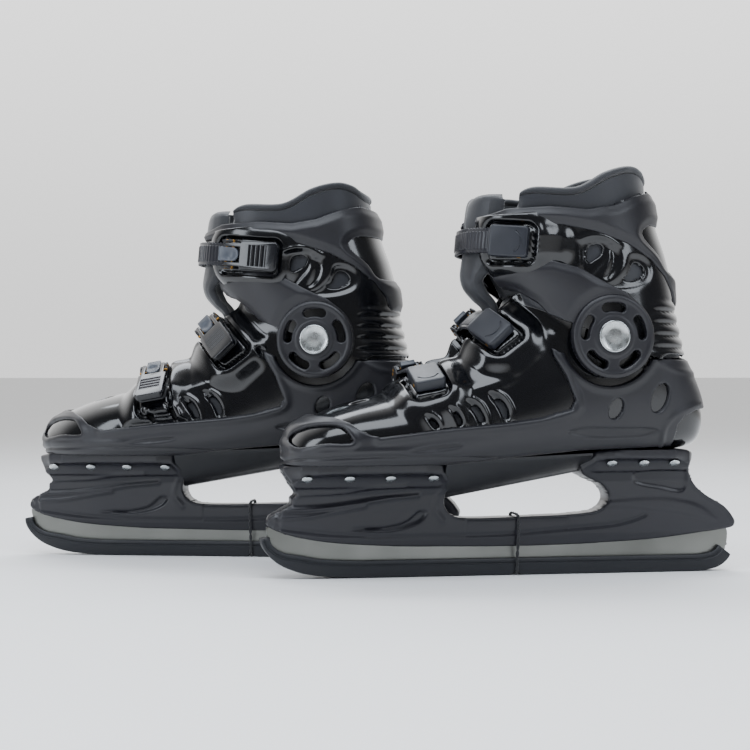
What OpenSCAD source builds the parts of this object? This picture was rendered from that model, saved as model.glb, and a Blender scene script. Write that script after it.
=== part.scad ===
// A pair of hard-shell ice skates with ratchet buckles, soft liners and tied-on blade guards.
// Each skate is drawn once as a right skate, toe towards -X and medial side towards -Y.
// The left skate is its mirror image, set down beside it. All sizes are in millimetres.

/* [Shell] */
// Wall of the glossy foot shell
shell_wall = 3; // [2.6:0.1:3.2]
// Wall of the glossy cuff shell
cuff_wall = 2.5; // [2.2:0.1:2.6]
// Wall of the matte frame, collar and arms moulded over the shells
trim_wall = 2.5; // [2.2:0.1:2.6]
// Padding of the soft liner
liner_wall = 7; // [6:0.5:7.5]

/* [Blade] */
// Thickness of the steel runner
blade_t = 4; // [3:0.5:4.5]
// Width of the blade guard
guard_w = 13; // [12:0.5:14]
// Radius of the rivets that hold the blade holder
rivet_r = 2; // [1.6:0.2:2.4]

/* [Buckles] */
// Width of the ladder straps
strap_w = 17; // [16:0.5:17]
// Thickness of the ladder straps
strap_t = 2.6; // [2.2:0.1:2.6]
// Width of the buckle levers
lever_w = 21; // [20.5:0.5:22]
// Radius of the ankle pivot rivet
pivot_r = 6; // [5:0.5:7]

/* [Pair] */
// How far the left skate stands behind the right one
left_y = 150; // [145:5:200]
// How far the left skate stands ahead of the right one
left_x = 165; // [150:5:200]
// How far the left skate is turned out, in degrees
left_turn = 16; // [8:1:18]

/* [Hidden] */
SIDES = ["right", "left"];
STRAPS = ["toe", "instep", "cuff"];
PIECES = [
    "blade", "blade_holder", "blade_guard", "guard_tie", "holder_rivets",
    "base_frame", "foot_shell", "insole", "liner_foot", "liner_collar", "tongue",
    "cuff_shell", "cuff_collar", "ankle_arms", "pivot_rivets"
];
BUCKLE_PIECES = ["strap", "strap_cap", "buckle_base", "lever", "release_tab"];

$fn = 48;
fit = 0.3;        // air between neighbouring shells
run_fit = 0.05;   // air between a turning part and its pin
ring_n = 20;      // points round each lofted section
span = 400;       // longer than any cut has to be

pivot_x = 62.6;
pivot_z = 162.7;
disc_r = 28;
arm_r = 31;
cup_r = 37;
cap_r = 10.6;

// Sections of the foot shell's outer surface from toe to ankle, each in a plane that holds the
// Y axis direction and runs from a top point to a bottom point of the side profile:
// [top x, top z, bottom x, bottom z, half width, centre y, share of the height above the
//  widest point, roundness of the upper part, roundness of the lower part]
FOOT = [
    [-151, 93, -151, 82, 11, -8, 0.5, 2.0, 2.2],
    [-148.5, 99, -148.5, 78.5, 21, -8, 0.55, 2.0, 2.6],
    [-141, 105.5, -141, 76, 31, -7, 0.58, 2.1, 3.2],
    [-126, 112.5, -126, 76, 41, -5, 0.6, 2.2, 4.0],
    [-106, 119.5, -106, 76, 47, -2.5, 0.6, 2.2, 4.2],
    [-84, 125, -83, 76, 50, -0.5, 0.6, 2.2, 4.2],
    [-62, 133, -53, 77, 49, 0.5, 0.6, 2.2, 4.2],
    [-42, 147, -16, 79.5, 46.5, 0.5, 0.56, 2.2, 4.0],
    [-28, 159, 24, 82, 44, 0, 0.52, 2.3, 3.6],
    [-17, 169, 64, 84.3, 42.5, 0, 0.5, 2.3, 3.2],
    [-9, 178, 102, 84.6, 42, 0, 0.5, 2.3, 2.8],
    [-4, 186, 130, 88, 42, 0, 0.5, 2.4, 2.6],
    [-2, 192, 139, 99, 42, 0, 0.5, 2.4, 2.6],
    [-2, 198, 138, 118, 42.5, 0, 0.5, 2.4, 2.6],
    [-4, 205, 130.5, 138, 43, 0, 0.5, 2.4, 2.6],
    [-8, 212, 121, 158, 43.5, 0, 0.5, 2.4, 2.6],
    [-12, 222, 118, 172, 43.5, 0, 0.5, 2.4, 2.6]
];
// Sections of the cuff shell's inner surface from the ankle up, written the same way
CUFF = [
    [-2, 186, 128, 136, 47, 0, 0.5, 2.4, 2.4],
    [-8, 198, 123, 156, 47.2, 0, 0.5, 2.4, 2.4],
    [-15, 209, 118, 178, 47.5, 0, 0.5, 2.4, 2.4],
    [-20, 219, 115, 199, 47.5, 0, 0.5, 2.4, 2.4],
    [-23, 229, 110, 219, 47.5, 0, 0.5, 2.4, 2.4],
    [-24, 240, 103, 239, 48, 0, 0.5, 2.4, 2.4],
    [-22, 251, 99, 259, 49, 0, 0.5, 2.4, 2.4],
    [-17, 264, 97, 283, 50, 0, 0.5, 2.4, 2.4]
];

// ---------- curves ----------
// A smooth value between b and c, with a and d as their neighbours
function between(a, b, c, d, u) =
    0.5 * (2 * b + (c - a) * u + (2 * a - 5 * b + 4 * c - d) * u * u + (3 * b - a - 3 * c + d) * u * u * u);
// The row at position s of a table, with s counted from 0
function row_at(tab, s) =
    let (n = len(tab), i = max(0, min(floor(s), n - 2)))
    between(tab[max(i - 1, 0)], tab[i], tab[i + 1], tab[min(i + 2, n - 1)], s - i);
// A closed smooth outline through a few points, with k steps between neighbours
function smooth_loop(pts, k = 4) =
    let (n = len(pts))
    [for (i = [0 : n - 1], j = [0 : k - 1])
        between(pts[(i + n - 1) % n], pts[i], pts[(i + 1) % n], pts[(i + 2) % n], j / k)];
function unit(v) = v / norm(v);
function power(v, e) = sign(v) * pow(abs(v), e);

// A point on a lofted surface: position s along it, angle a round it (0 on top, 90 lateral),
// moved outwards by off
function on_loft(tab, s, a, off = 0) =
    let (
        r = row_at(tab, s),
        top = [r[0], r[1]],
        e = unit([r[2], r[3]] - top),
        len_tb = norm([r[2], r[3]] - top),
        upper = r[6] * len_tb + off,
        lower = (1 - r[6]) * len_tb + off,
        c = -cos(a),
        p = 2 / (c < 0 ? r[7] : r[8]),
        mid = top + e * r[6] * len_tb,
        xz = mid + e * power(c, p) * (c < 0 ? upper : lower)
    )
    [xz[0], r[5] + (r[4] + off) * power(sin(a), p), xz[1]];

// A closed solid between two positions of a lofted surface, with a ring at each section between them
module loft(tab, off, s0 = 0, s1 = undef) {
    last = is_undef(s1) ? len(tab) - 1 : s1;
    rings = concat([s0], [for (i = [floor(s0) + 1 : ceil(last) - 1]) i], [last]);
    n = len(rings) - 1;
    pts = [for (i = [0 : n], k = [0 : ring_n - 1])
        on_loft(tab, rings[i], 360 * (k + 0.5) / ring_n, off)];
    faces = concat(
        [[for (k = [ring_n - 1 : -1 : 0]) k]],
        [[for (k = [0 : ring_n - 1]) n * ring_n + k]],
        [for (i = [0 : n - 1], k = [0 : ring_n - 1])
            let (a = i * ring_n + k, b = i * ring_n + (k + 1) % ring_n)
            each [[a, b, a + ring_n], [b, b + ring_n, a + ring_n]]]
    );
    polyhedron(pts, faces);
}

// Extrudes a side-view outline right across the skate
module across(w = span) {
    rotate([90, 0, 0]) linear_extrude(w, center = true) children();
}
// The same between two distances to one side of the middle
module beside(y0, y1) {
    translate([0, y1, 0]) rotate([90, 0, 0]) linear_extrude(y1 - y0) children();
}
// Extrudes a front-view outline (y, z) from x0 to x1
module along(x0, x1) {
    translate([x0, 0, 0]) rotate([90, 0, 90]) linear_extrude(x1 - x0) children();
}

// ---------- side-view outlines ----------
function arc(cx, cz, r, a0, a1, n = 12) =
    [for (i = [0 : n]) let (a = a0 + (a1 - a0) * i / n) [cx + r * cos(a), cz + r * sin(a)]];

FOOT_TOP = concat(
    [[-200, 40], [-200, 175], [-20, 175], [-8, 186], [4, 192], [22, 191], [36, 187]],
    arc(pivot_x, pivot_z, 24, 100, 40, 6),
    [[92, 160], [104, 149], [125, 148], [170, 148], [170, 40]]
);
FRAME_EDGE = concat(
    [[-170, 77], [-40, 77], [-15, 80], [15, 83], [45, 85.5], [112, 87.5], [113, 103], [118, 109],
     [128, 113], [170, 118], [170, 147.5], [118, 147.5], [104, 148]],
    arc(pivot_x, pivot_z, cup_r, 333, 200, 10),
    [[22.9, 155], [24, 150], [32.4, 136], [38.8, 120], [36, 114], [15.4, 108.3], [-7.8, 105.3],
     [-53.8, 101.5], [-95, 96.7], [-101, 98], [-109.3, 104], [-118, 112], [-124, 130], [-170, 130]]
);
TOE_WINDOW = [[-170, 92], [-112, 93], [-116, 101], [-124, 106], [-142, 105], [-151, 101], [-170, 100]];
CUFF_EDGE = concat(
    [[-40, 203], [-40, 243], [-12, 243.5], [20, 246], [46, 244.5], [64, 247.5], [82, 254.5], [95, 258.5],
     [140, 258.5], [140, 150.5], [104, 150.5], [95, 146]],
    arc(pivot_x, pivot_z, 27, 330, 200, 8),
    [[31, 163], [25, 174], [14, 187], [1, 195], [-13, 200]]
);
COLLAR_EDGE = [
    [-40, 238], [-14, 237], [4, 237.4], [29, 236.2], [50.5, 232.4], [74, 225], [91.5, 215.6], [106, 203.8],
    [113, 194], [116, 184], [150, 184], [150, 257], [106, 258.5], [93.8, 260.8], [80.6, 257.4], [63.4, 250.4],
    [45.5, 247.3], [18.9, 249], [-8.4, 247.5], [-16.7, 244.7], [-40, 240]
];
COLLAR_WINDOW = [[86, 232], [92, 238], [104, 238.5], [130, 237], [130, 212], [108, 208], [100, 218]];
ARM_EDGE = concat(
    [[-26, 202.2], [-12.5, 206.3], [0, 210.6], [21, 213], [40, 208], [55, 200], [72.5, 191.8]],
    arc(pivot_x, pivot_z, arm_r, 50, -155, 22),
    [[31.8, 162], [23.3, 173], [12.8, 185], [0, 193.2], [-14.6, 197.5]]
);
HOLDER_EDGE = [
    [-164, 38], [-162, 42.5], [-158.6, 44.5], [-150, 48.6], [-147.5, 50], [-147, 54], [-144, 57], [-146, 60],
    [-152, 69], [-154, 72], [-154, 76], [-38, 76], [-37.2, 70], [-38.5, 63], [-42.5, 57], [-43.5, 50],
    [-41, 44.5], [-36, 41], [-30, 39.8], [8, 40], [58, 42.2], [67, 44.5], [72, 49.5], [72, 55.5], [67, 61.5],
    [59, 65], [52, 69], [49.5, 75], [51, 81], [55, 84.3], [131, 84.3], [131.5, 79], [128, 74], [131, 66],
    [135, 60], [143, 53.5], [156, 46], [162.5, 39], [165, 34], [163.5, 31], [150, 28.5], [108, 23.1],
    [60, 20.5], [8.6, 19.5], [-40, 20], [-88, 21.2], [-130, 25.1], [-155, 31.5], [-163, 35.5]
];
BLADE_EDGE = [
    [-163.3, 34.5], [-162.5, 27], [-159, 20], [-151, 13.2], [-138, 8.4], [-118, 5.6], [-90, 5], [140, 5],
    [152, 7.4], [159.5, 14], [162, 22], [161, 30.2], [150, 31], [20, 30], [-120, 31], [-150, 34]
];
GUARD_EDGE = [
    [-167.5, 24], [-165.5, 17], [-160, 11], [-150, 5], [-141, 1.4], [-133, 0], [150, 0], [156, 1.8], [159, 6],
    [159, 11], [155, 12.4], [140, 11.6], [8, 11], [-125, 12], [-140, 13.6], [-150, 18], [-158, 24.5], [-163, 28.5]
];
// Front-view outlines of the holder, one half: [y, z]
RAIL_HALF = [[0, 15], [6.2, 15], [7, 21], [8.6, 27], [9.2, 36], [9, 60], [0, 60]];
FRONT_POST_HALF = [[0, 15], [6.2, 15], [7, 21], [9, 28], [10.5, 45], [12.5, 58], [28, 69], [30.5, 71], [31, 76], [0, 76]];
REAR_POST_HALF = [[0, 15], [6.2, 15], [7, 21], [9, 28], [10.5, 50], [12.5, 66], [25, 77], [27.5, 79.3], [28, 84.3], [0, 84.3]];
// Half outlines of the holder's flanges and of the insole seen from above: [x, y]
FLANGE_HALF = [[-170, 0], [-170, 7], [-156, 8], [-150, 15], [-143, 24], [-132, 29], [-112, 31], [-60, 31], [-48, 27],
    [-40, 18], [-30, 12], [40, 12], [50, 16], [60, 24], [72, 28], [115, 27], [127, 21], [133, 12], [170, 12], [170, 0]];
// Top edge of the liner's foot part, just inside the rim of the foot shell
LINER_SPLIT = concat([[-200, 0], [-200, 174], [-20, 174], [-8, 184], [4, 190], [22, 189], [34, 185]],
    arc(pivot_x, pivot_z, 22, 100, 40, 4), [[90, 158], [103, 147], [170, 146], [170, 0]]);
INSOLE_HALF = [[-130, 0], [-126, 10], [-117, 18], [-98, 26], [-75, 29], [-45, 27], [0, 23], [60, 20], [90, 19],
    [104, 15], [112, 8], [114, 0]];
FRONT_RIVET_X = [-139, -110.6, -83, -54];
REAR_RIVET_X = [70.6, 93.5, 115.2];
TIE_X = 8;
TIE_D = 2;

module half_and_mirror() {
    children();
    mirror([1, 0]) children();
}
module both_sides() {
    children();
    mirror([0, 1, 0]) children();
}

// ---------- blade, holder and guard ----------
module blade() {
    color("silver") across(blade_t) polygon(BLADE_EDGE);
}

module rivet_place(x, front) {
    y = front ? 21.5 : 19.5;
    z = front ? 64.4 : 72.2;
    translate([x, y, z]) rotate([-145, 0, 0]) children();
}
module each_rivet() {
    both_sides() {
        for (x = FRONT_RIVET_X) rivet_place(x, true) children();
        for (x = REAR_RIVET_X) rivet_place(x, false) children();
    }
}

module blade_holder() {
    color([0.09, 0.09, 0.1]) difference() {
        intersection() {
            across() polygon(HOLDER_EDGE);
            union() {
                along(-200, 200) half_and_mirror() polygon(RAIL_HALF);
                along(-200, -30) half_and_mirror() polygon(FRONT_POST_HALF);
                along(42, 200) half_and_mirror() polygon(REAR_POST_HALF);
            }
            linear_extrude(120) {
                polygon(FLANGE_HALF);
                mirror([0, 1]) polygon(FLANGE_HALF);
            }
        }
        across(blade_t + 2 * run_fit) polygon(BLADE_EDGE);
        each_rivet() translate([0, 0, -9]) cylinder(r = rivet_r + run_fit, h = 20, $fn = 16);
    }
}

module holder_rivets() {
    color("silver") each_rivet() {
        translate([0, 0, -8.5]) cylinder(r = rivet_r, h = 9, $fn = 16);
        translate([0, 0, 0.45]) cylinder(r1 = rivet_r * 1.9, r2 = rivet_r * 1.2, h = 1.3, $fn = 16);
    }
}

module blade_guard() {
    slot_w = blade_t + 0.4;
    color([0.06, 0.07, 0.09]) difference() {
        across(guard_w) polygon(GUARD_EDGE);
        translate([0, 0, -0.05]) across(slot_w) polygon(BLADE_EDGE);
        translate([TIE_X - TIE_D / 2 - 0.3, -span / 2, -1]) cube([TIE_D + 0.6, span, 3.6]);
    }
}

module tie_loop(grow) {
    foot = guard_w / 2 + 0.4 + grow;
    half = [[foot - grow * 0.4, 2.4 - grow], [foot, 2.4 - grow * 0.5], [foot, 12], [10 + grow, 27],
        [10 + grow, 39.5], [8.5 + grow, 40.3 + grow]];
    polygon(concat(half, [for (i = [len(half) - 1 : -1 : 0]) [-half[i][0], half[i][1]]]));
}
module guard_tie() {
    color([0.05, 0.05, 0.05]) along(TIE_X - TIE_D / 2, TIE_X + TIE_D / 2) difference() {
        tie_loop(TIE_D);
        tie_loop(0);
    }
}

// ---------- boot ----------
module keel(grow = 0) {
    hull() {
        translate([-36.3, 0, 0]) along(-grow, 1) half_and_mirror()
            polygon([[0, 51], [9 + grow, 51], [29 + grow, 68], [31 + grow, 84], [0, 84 + grow]]);
        translate([47, 0, 0]) along(0, 1 + grow) half_and_mirror()
            polygon([[0, 66.5], [9 + grow, 66.5], [25 + grow, 77], [27 + grow, 87], [0, 87 + grow]]);
    }
}

// The throat over the instep, seen from above
module throat(w) {
    translate([0, 0, 115]) linear_extrude(span) polygon([[-70, 0], [-66, -w * 0.6], [-56, -w], [40, -w], [40, w],
        [-56, w], [-66, w * 0.6]]);
}

module vent_slots() {
    for (v = [[-62, 106, 6.5], [-48.5, 108, 8], [-32, 111.5, 10], [-15.5, 115, 11.5]])
        translate([v[0], 0, v[1]]) rotate([0, 28, 0]) across() intersection() {
            translate([-4.4, 0]) circle(r = v[2]);
            translate([v[2] - 8.5, 0]) circle(r = v[2]);
        }
}

module foot_shell() {
    boss_y = on_loft(FOOT, 12.6, 90)[1] - 1;
    color([0.03, 0.03, 0.035]) difference() {
        union() {
            intersection() {
                loft(FOOT, 0, 0.6);
                across() polygon(FOOT_TOP);
            }
            keel();
            for (b = [0, 1]) both_ends(b) buckle_pad();
            both_sides() translate([pivot_x, 0, pivot_z]) beside(boss_y, cuff_in_y() - 0.8) circle(r = 12);
        }
        loft(FOOT, -shell_wall, 1.2, len(FOOT) - 0.7);
        throat(17);
        vent_slots();
        translate([pivot_x, 0, pivot_z]) across() circle(r = pivot_r + 0.02);
    }
}

module base_frame() {
    color([0.12, 0.12, 0.13]) difference() {
        intersection() {
            loft(FOOT, fit + trim_wall);
            across() polygon(FRAME_EDGE);
        }
        loft(FOOT, fit, 0.35, len(FOOT) - 0.7);
        keel(0.4);
        across() polygon(TOE_WINDOW);
        for (o = [[67.4, 114.2, 5, 7.5], [98.8, 121.4, 6.2, 10.5]])
            translate([o[0], 0, o[1]]) rotate([0, 20, 0]) across() hull() {
                translate([0, o[3] - o[2]]) circle(r = o[2]);
                translate([0, o[2] - o[3]]) circle(r = o[2]);
            }
    }
}

module liner_foot() {
    out = -shell_wall - fit;
    color([0.1, 0.1, 0.11]) difference() {
        intersection() {
            loft(FOOT, out, 1.35);
            across() polygon(LINER_SPLIT);
        }
        loft(FOOT, out - liner_wall, 2.1, len(FOOT) - 0.7);
        translate([-60, -17, 156]) cube([80, 34, 80]);
    }
}

module insole() {
    other = [for (i = [len(INSOLE_HALF) - 2 : -1 : 1]) [INSOLE_HALF[i][0], -INSOLE_HALF[i][1]]];
    color([0.25, 0.25, 0.27]) translate([0, 0, 95]) rotate([0, -2.5, 0]) linear_extrude(3)
        polygon(concat(INSOLE_HALF, other));
}

// ---------- cuff ----------
function cuff_in_y() = on_loft(CUFF, 1, 90)[1];

LINER_TOP = [[-30, 205], [-30, 240], [-8, 247], [-2, 255], [8, 260], [38, 260], [60, 271], [77, 276.5], [88, 275],
    [100, 268], [140, 262], [140, 152], [112, 152], [100, 165], [90, 182], [70, 191], [40, 195], [22, 201], [0, 205]];

module liner_collar() {
    color([0.1, 0.1, 0.11]) difference() {
        intersection() {
            loft(CUFF, -fit - 0.2);
            across() polygon(LINER_TOP);
        }
        loft(CUFF, -fit - 0.2 - liner_wall, -0.3, len(CUFF) - 0.7);
        translate([-100, -21, 0]) cube([130, 42, span]);
    }
}

TONGUE_SIDE = [[-10, 157], [-11, 171], [-13, 182.5], [-21, 188], [-27.5, 195], [-28, 203], [-25.5, 213],
    [-23.5, 222], [-22.5, 232], [-22, 244], [-19, 256], [-12, 262.5], [-6, 259], [-9, 249], [-14, 238],
    [-16, 226], [-17, 214], [-18, 203], [-13, 193], [-5, 182], [-2, 171], [-1, 157]];
module tongue() {
    color([0.11, 0.11, 0.12]) across(30) polygon(TONGUE_SIDE);
}

module cuff_wall_of(from, to, edge) {
    difference() {
        intersection() {
            loft(CUFF, to);
            across() polygon(edge);
        }
        loft(CUFF, from, -0.3, len(CUFF) - 0.7);
    }
}
module front_gap(w) {
    translate([-100, -w, 0]) cube([110, 2 * w, span]);
}
module pivot_bore() {
    translate([pivot_x, 0, pivot_z]) across() circle(r = pivot_r + run_fit);
}

// A drop-shaped window with its point downwards, turned by t
module drop(x, z, r, l, t) {
    translate([x, 0, z]) rotate([0, t, 0]) across() hull() {
        circle(r = r);
        translate([0, -l]) circle(r = 1.5, $fn = 16);
    }
}

module cuff_shell() {
    color([0.03, 0.03, 0.035]) difference() {
        union() {
            cuff_wall_of(0, cuff_wall, CUFF_EDGE);
            both_ends(2) buckle_pad();
        }
        loft(CUFF, 0, -0.3, len(CUFF) - 0.7);
        front_gap(20);
        pivot_bore();
        drop(52.5, 221, 6.5, 15, 8);
        drop(80, 209, 7, 17, 38);
    }
}

module cuff_collar() {
    from = cuff_wall + 0.15;
    color([0.13, 0.13, 0.14]) difference() {
        cuff_wall_of(from, from + trim_wall, COLLAR_EDGE);
        front_gap(21);
        across() polygon(COLLAR_WINDOW);
        both_ends(2) translate([-13.3, -8.3, -9.3]) cube([26.6, 16.6, 12]);
        both_ends(2) translate([-25, -lever_w / 2 - 1.5, -1]) cube([60, lever_w + 3, 30]);
    }
}

module ankle_arms() {
    from = cuff_wall + 0.1;
    color([0.12, 0.12, 0.13]) difference() {
        union() {
            cuff_wall_of(from, from + trim_wall, ARM_EDGE);
            both_sides() translate([pivot_x, 0, pivot_z])
                beside(cuff_in_y() + cuff_wall + 1.6, arm_face_y()) circle(r = disc_r);
        }
        loft(CUFF, from, -0.3, len(CUFF) - 0.7);
        front_gap(21);
        pivot_bore();
        for (i = [0 : 4]) translate([pivot_x, 0, pivot_z]) rotate([0, -72 * i, 0])
            both_sides() beside(cuff_in_y() + cuff_wall + 0.1, span) slot_shape();
        both_ends(2) translate([-25, -lever_w / 2 - 1.5, -1]) cube([60, lever_w + 3, 30]);
    }
}
module slot_shape() {
    intersection() {
        difference() {
            circle(r = 21.5);
            circle(r = 15);
        }
        hull() {
            translate([-5, 18.2]) circle(r = 3.2);
            translate([5, 18.2]) circle(r = 3.2);
        }
    }
}
function arm_face_y() = cuff_in_y() + cuff_wall + trim_wall + 1.4;

module pivot_rivets() {
    inner_y = on_loft(FOOT, 12.6, 90)[1] - shell_wall + 0.1;
    color([0.8, 0.8, 0.8]) both_sides() translate([pivot_x, 0, pivot_z]) {
        beside(inner_y - 0.2, arm_face_y() + 0.12) circle(r = pivot_r);
        beside(arm_face_y() + 0.1, arm_face_y() + 1.6) circle(r = cap_r);
    }
}

// ---------- straps and buckles ----------
// Where each strap crosses: [table, position along it, angle of the buckle, angle of the cap]
STRAP_AT = [[FOOT, 6.1, 41, -33], [FOOT, 9.0, 37, -33], [CUFF, 3.8, 68, -50]];
LIFT = [3.2, 4.2, 3.9];  // height of each buckle's foot over the surface

// Place of a buckle or cap: [origin, along the strap and away from the middle, across, outwards]
function seat(b, a) =
    let (
        tab = STRAP_AT[b][0],
        s = STRAP_AT[b][1],
        p = on_loft(tab, s, a, LIFT[b]),
        q = on_loft(tab, s, a + sign(a) * 2, LIFT[b]),
        o = on_loft(tab, s, a - sign(a) * 2, LIFT[b]),
        along_strap = unit(q - o),
        r = row_at(tab, s),
        e = unit([r[2] - r[0], r[3] - r[1]]),
        across_strap = [e[1], 0, -e[0]] * sign(a),
        out = cross(along_strap, across_strap)
    )
    [p, along_strap, across_strap, out];
module at_seat(b, a) {
    f = seat(b, a);
    multmatrix([for (i = [0 : 2]) [f[1][i], f[2][i], f[3][i], f[0][i]]]) children();
}
module both_ends(b) {
    at_seat(b, STRAP_AT[b][2]) children();
    at_seat(b, STRAP_AT[b][3]) children();
}

strap_z = 1.7;         // underside of the strap over the buckle's foot
lever_pin_x = -14;
tab_pin_x = -9;
pin_z = 7;
ear_y0 = 8.9;
ear_y1 = 10.3;
pin_r = 1.1;

module buckle_pad() {
    translate([-13, -8, -9]) cube([26, 16, 9]);
}

module box_at(x0, x1, y, z0, z1) {
    translate([x0, -y, z0]) cube([x1 - x0, 2 * y, z1 - z0]);
}

module buckle_base(b) {
    color("dimgray") at_seat(b, STRAP_AT[b][2]) {
        difference() {
            union() {
                box_at(-20, 21, ear_y1, 0.02, 1.5);
                for (m = [0, 1]) mirror([0, m, 0]) translate([0, ear_y0, 0]) hull() {
                    translate([-20, 0, 0.02]) cube([14, ear_y1 - ear_y0, 3]);
                    translate([-17.5, 0, 8.6]) cube([9, ear_y1 - ear_y0, 1]);
                }
            }
        }
        for (x = [lever_pin_x, tab_pin_x]) translate([x, 0, pin_z]) across(2 * ear_y0 + 0.1) circle(r = pin_r, $fn = 24);
    }
}

module lever(b) {
    color([0.16, 0.16, 0.17]) at_seat(b, STRAP_AT[b][2]) difference() {
        union() {
            box_at(-2.4, 27, lever_w / 2, 5.2, 10);
            box_at(-15.9, -2.3, ear_y0 - fit, 5.7, 10);
        }
        box_at(-30, -2.8, 5.6, -5, 30);
        box_at(0.5, 25, lever_w / 2 - 1.6, 0, 8);
        translate([lever_pin_x, 0, pin_z]) across() circle(r = pin_r + run_fit, $fn = 24);
        translate([tab_pin_x, 0, pin_z]) lever_relief();
    }
}
// The second pin passes under the lever's arms, which are open there so that the lever can lift
module lever_relief() {
    across() difference() {
        circle(r = 8.3);
        translate([-5, 0]) circle(r = 2.6);
        translate([-13, -20]) square([8, 60]);
        translate([-20, 1.4]) square([40, 40]);
    }
}

module release_tab(b) {
    color([0.45, 0.45, 0.47]) at_seat(b, STRAP_AT[b][2]) difference() {
        union() {
            box_at(-19.5, -8.6, 5.1, 6, 9.8);
            translate([-8.6, 0, 6]) cylinder(r = 5.1, h = 3.8);
        }
        translate([tab_pin_x, 0, pin_z]) across() circle(r = pin_r + run_fit, $fn = 24);
        translate([lever_pin_x, 0, pin_z]) across() circle(r = pin_r + 0.75, $fn = 24);
    }
}

module strap_cap(b) {
    color([0.2, 0.2, 0.22]) at_seat(b, STRAP_AT[b][3]) difference() {
        box_at(-14, 13, lever_w / 2, 0.02, 7.8);
        box_at(-20, 8, strap_w / 2 + fit, -1, strap_z + strap_t + fit);
    }
}

// Middle line of a strap: straight through the buckle, round the boot, and straight under the cap
function strap_line(b) =
    let (
        f = seat(b, STRAP_AT[b][2]),
        g = seat(b, STRAP_AT[b][3]),
        h = strap_z + strap_t / 2,
        a0 = STRAP_AT[b][2],
        a1 = STRAP_AT[b][3],
        arc_off = LIFT[b] + h + 1.2,
        n = 8
    )
    concat(
        [for (x = [19, 0, -20.5]) f[0] + f[1] * x + f[3] * h],
        [for (i = [1 : n - 1]) let (u = i / n, a = a0 * 0.42 * (1 - u) + a1 * 0.5 * u)
            on_loft(STRAP_AT[b][0], STRAP_AT[b][1], a, arc_off)],
        [for (x = [-14.5, 0, 7]) g[0] + g[1] * x + g[3] * h]
    );

// A flat band swept along a line, its width across the strap
module band(line, across_dir, w, t) {
    n = len(line);
    tan = [for (i = [0 : n - 1]) unit(line[min(i + 1, n - 1)] - line[max(i - 1, 0)])];
    pts = [for (i = [0 : n - 1])
        let (o = unit(cross(tan[i], across_dir)))
        each [line[i] - across_dir * w / 2 - o * t / 2, line[i] + across_dir * w / 2 - o * t / 2,
              line[i] + across_dir * w / 2 + o * t / 2, line[i] - across_dir * w / 2 + o * t / 2]];
    faces = concat(
        [[0, 1, 2, 3]],
        [[for (k = [3 : -1 : 0]) (n - 1) * 4 + k]],
        [for (i = [0 : n - 2], k = [0 : 3])
            let (a = i * 4 + k, c = i * 4 + (k + 1) % 4)
            each [[a, a + 4, c], [c, a + 4, c + 4]]]
    );
    polyhedron(pts, faces);
}
module strap(b) {
    color([0.3, 0.3, 0.33]) band(strap_line(b), seat(b, STRAP_AT[b][2])[2], strap_w, strap_t);
}

// ---------- the pair ----------
module place(s) {
    if (s == 0) children();
    else translate([-left_x, left_y, 0]) rotate([0, 0, -left_turn]) mirror([0, 1, 0]) children();
}

for (s = [0, 1]) {
    side = SIDES[s];
    place(s) blade();
    place(s) blade_holder();
    place(s) blade_guard();
    place(s) guard_tie();
    place(s) holder_rivets();
    place(s) base_frame();
    place(s) foot_shell();
    place(s) insole();
    place(s) liner_foot();
    place(s) liner_collar();
    place(s) tongue();
    place(s) cuff_shell();
    place(s) cuff_collar();
    place(s) ankle_arms();
    place(s) pivot_rivets();
    for (b = [0 : 2]) {
        name = str(side, "_", STRAPS[b]);
        place(s) strap(b);
        place(s) strap_cap(b);
        place(s) buckle_base(b);
        place(s) lever(b);
        place(s) release_tab(b);
    }
}
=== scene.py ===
"""A pair of hard-shell ice skates with ratchet buckles, soft liners and tied-on blade guards.

Every piece of the right skate is modelled where the frame has it, and the left skate is its mirror image.
Sizes are in millimetres, and one function turns them to metres.
"""

import logging
import math
from collections.abc import Callable, Sequence
from dataclasses import dataclass, field
from enum import Enum

import bmesh
import bpy
import numpy as np
from mathutils import Matrix, Vector


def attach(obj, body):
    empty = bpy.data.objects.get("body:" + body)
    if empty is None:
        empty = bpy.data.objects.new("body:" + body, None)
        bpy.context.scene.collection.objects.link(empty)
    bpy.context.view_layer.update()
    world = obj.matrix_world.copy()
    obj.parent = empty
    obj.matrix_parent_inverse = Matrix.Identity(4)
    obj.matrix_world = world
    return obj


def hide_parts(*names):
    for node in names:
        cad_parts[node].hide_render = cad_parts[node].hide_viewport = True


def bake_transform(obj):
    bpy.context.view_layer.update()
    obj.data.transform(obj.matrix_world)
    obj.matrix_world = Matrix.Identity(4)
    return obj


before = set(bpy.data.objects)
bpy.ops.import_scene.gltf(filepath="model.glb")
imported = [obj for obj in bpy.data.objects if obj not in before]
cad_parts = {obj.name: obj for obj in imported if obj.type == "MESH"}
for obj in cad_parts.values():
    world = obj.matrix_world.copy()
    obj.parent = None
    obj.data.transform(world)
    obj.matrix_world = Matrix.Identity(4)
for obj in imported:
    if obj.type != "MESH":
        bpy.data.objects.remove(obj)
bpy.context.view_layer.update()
LOG = logging.getLogger("skates")
MM = 0.001
Array = np.ndarray
Field = Callable[[Array], Array]


class Side(Enum):
    """The two skates of the pair."""

    RIGHT = "right"
    LEFT = "left"


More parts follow.
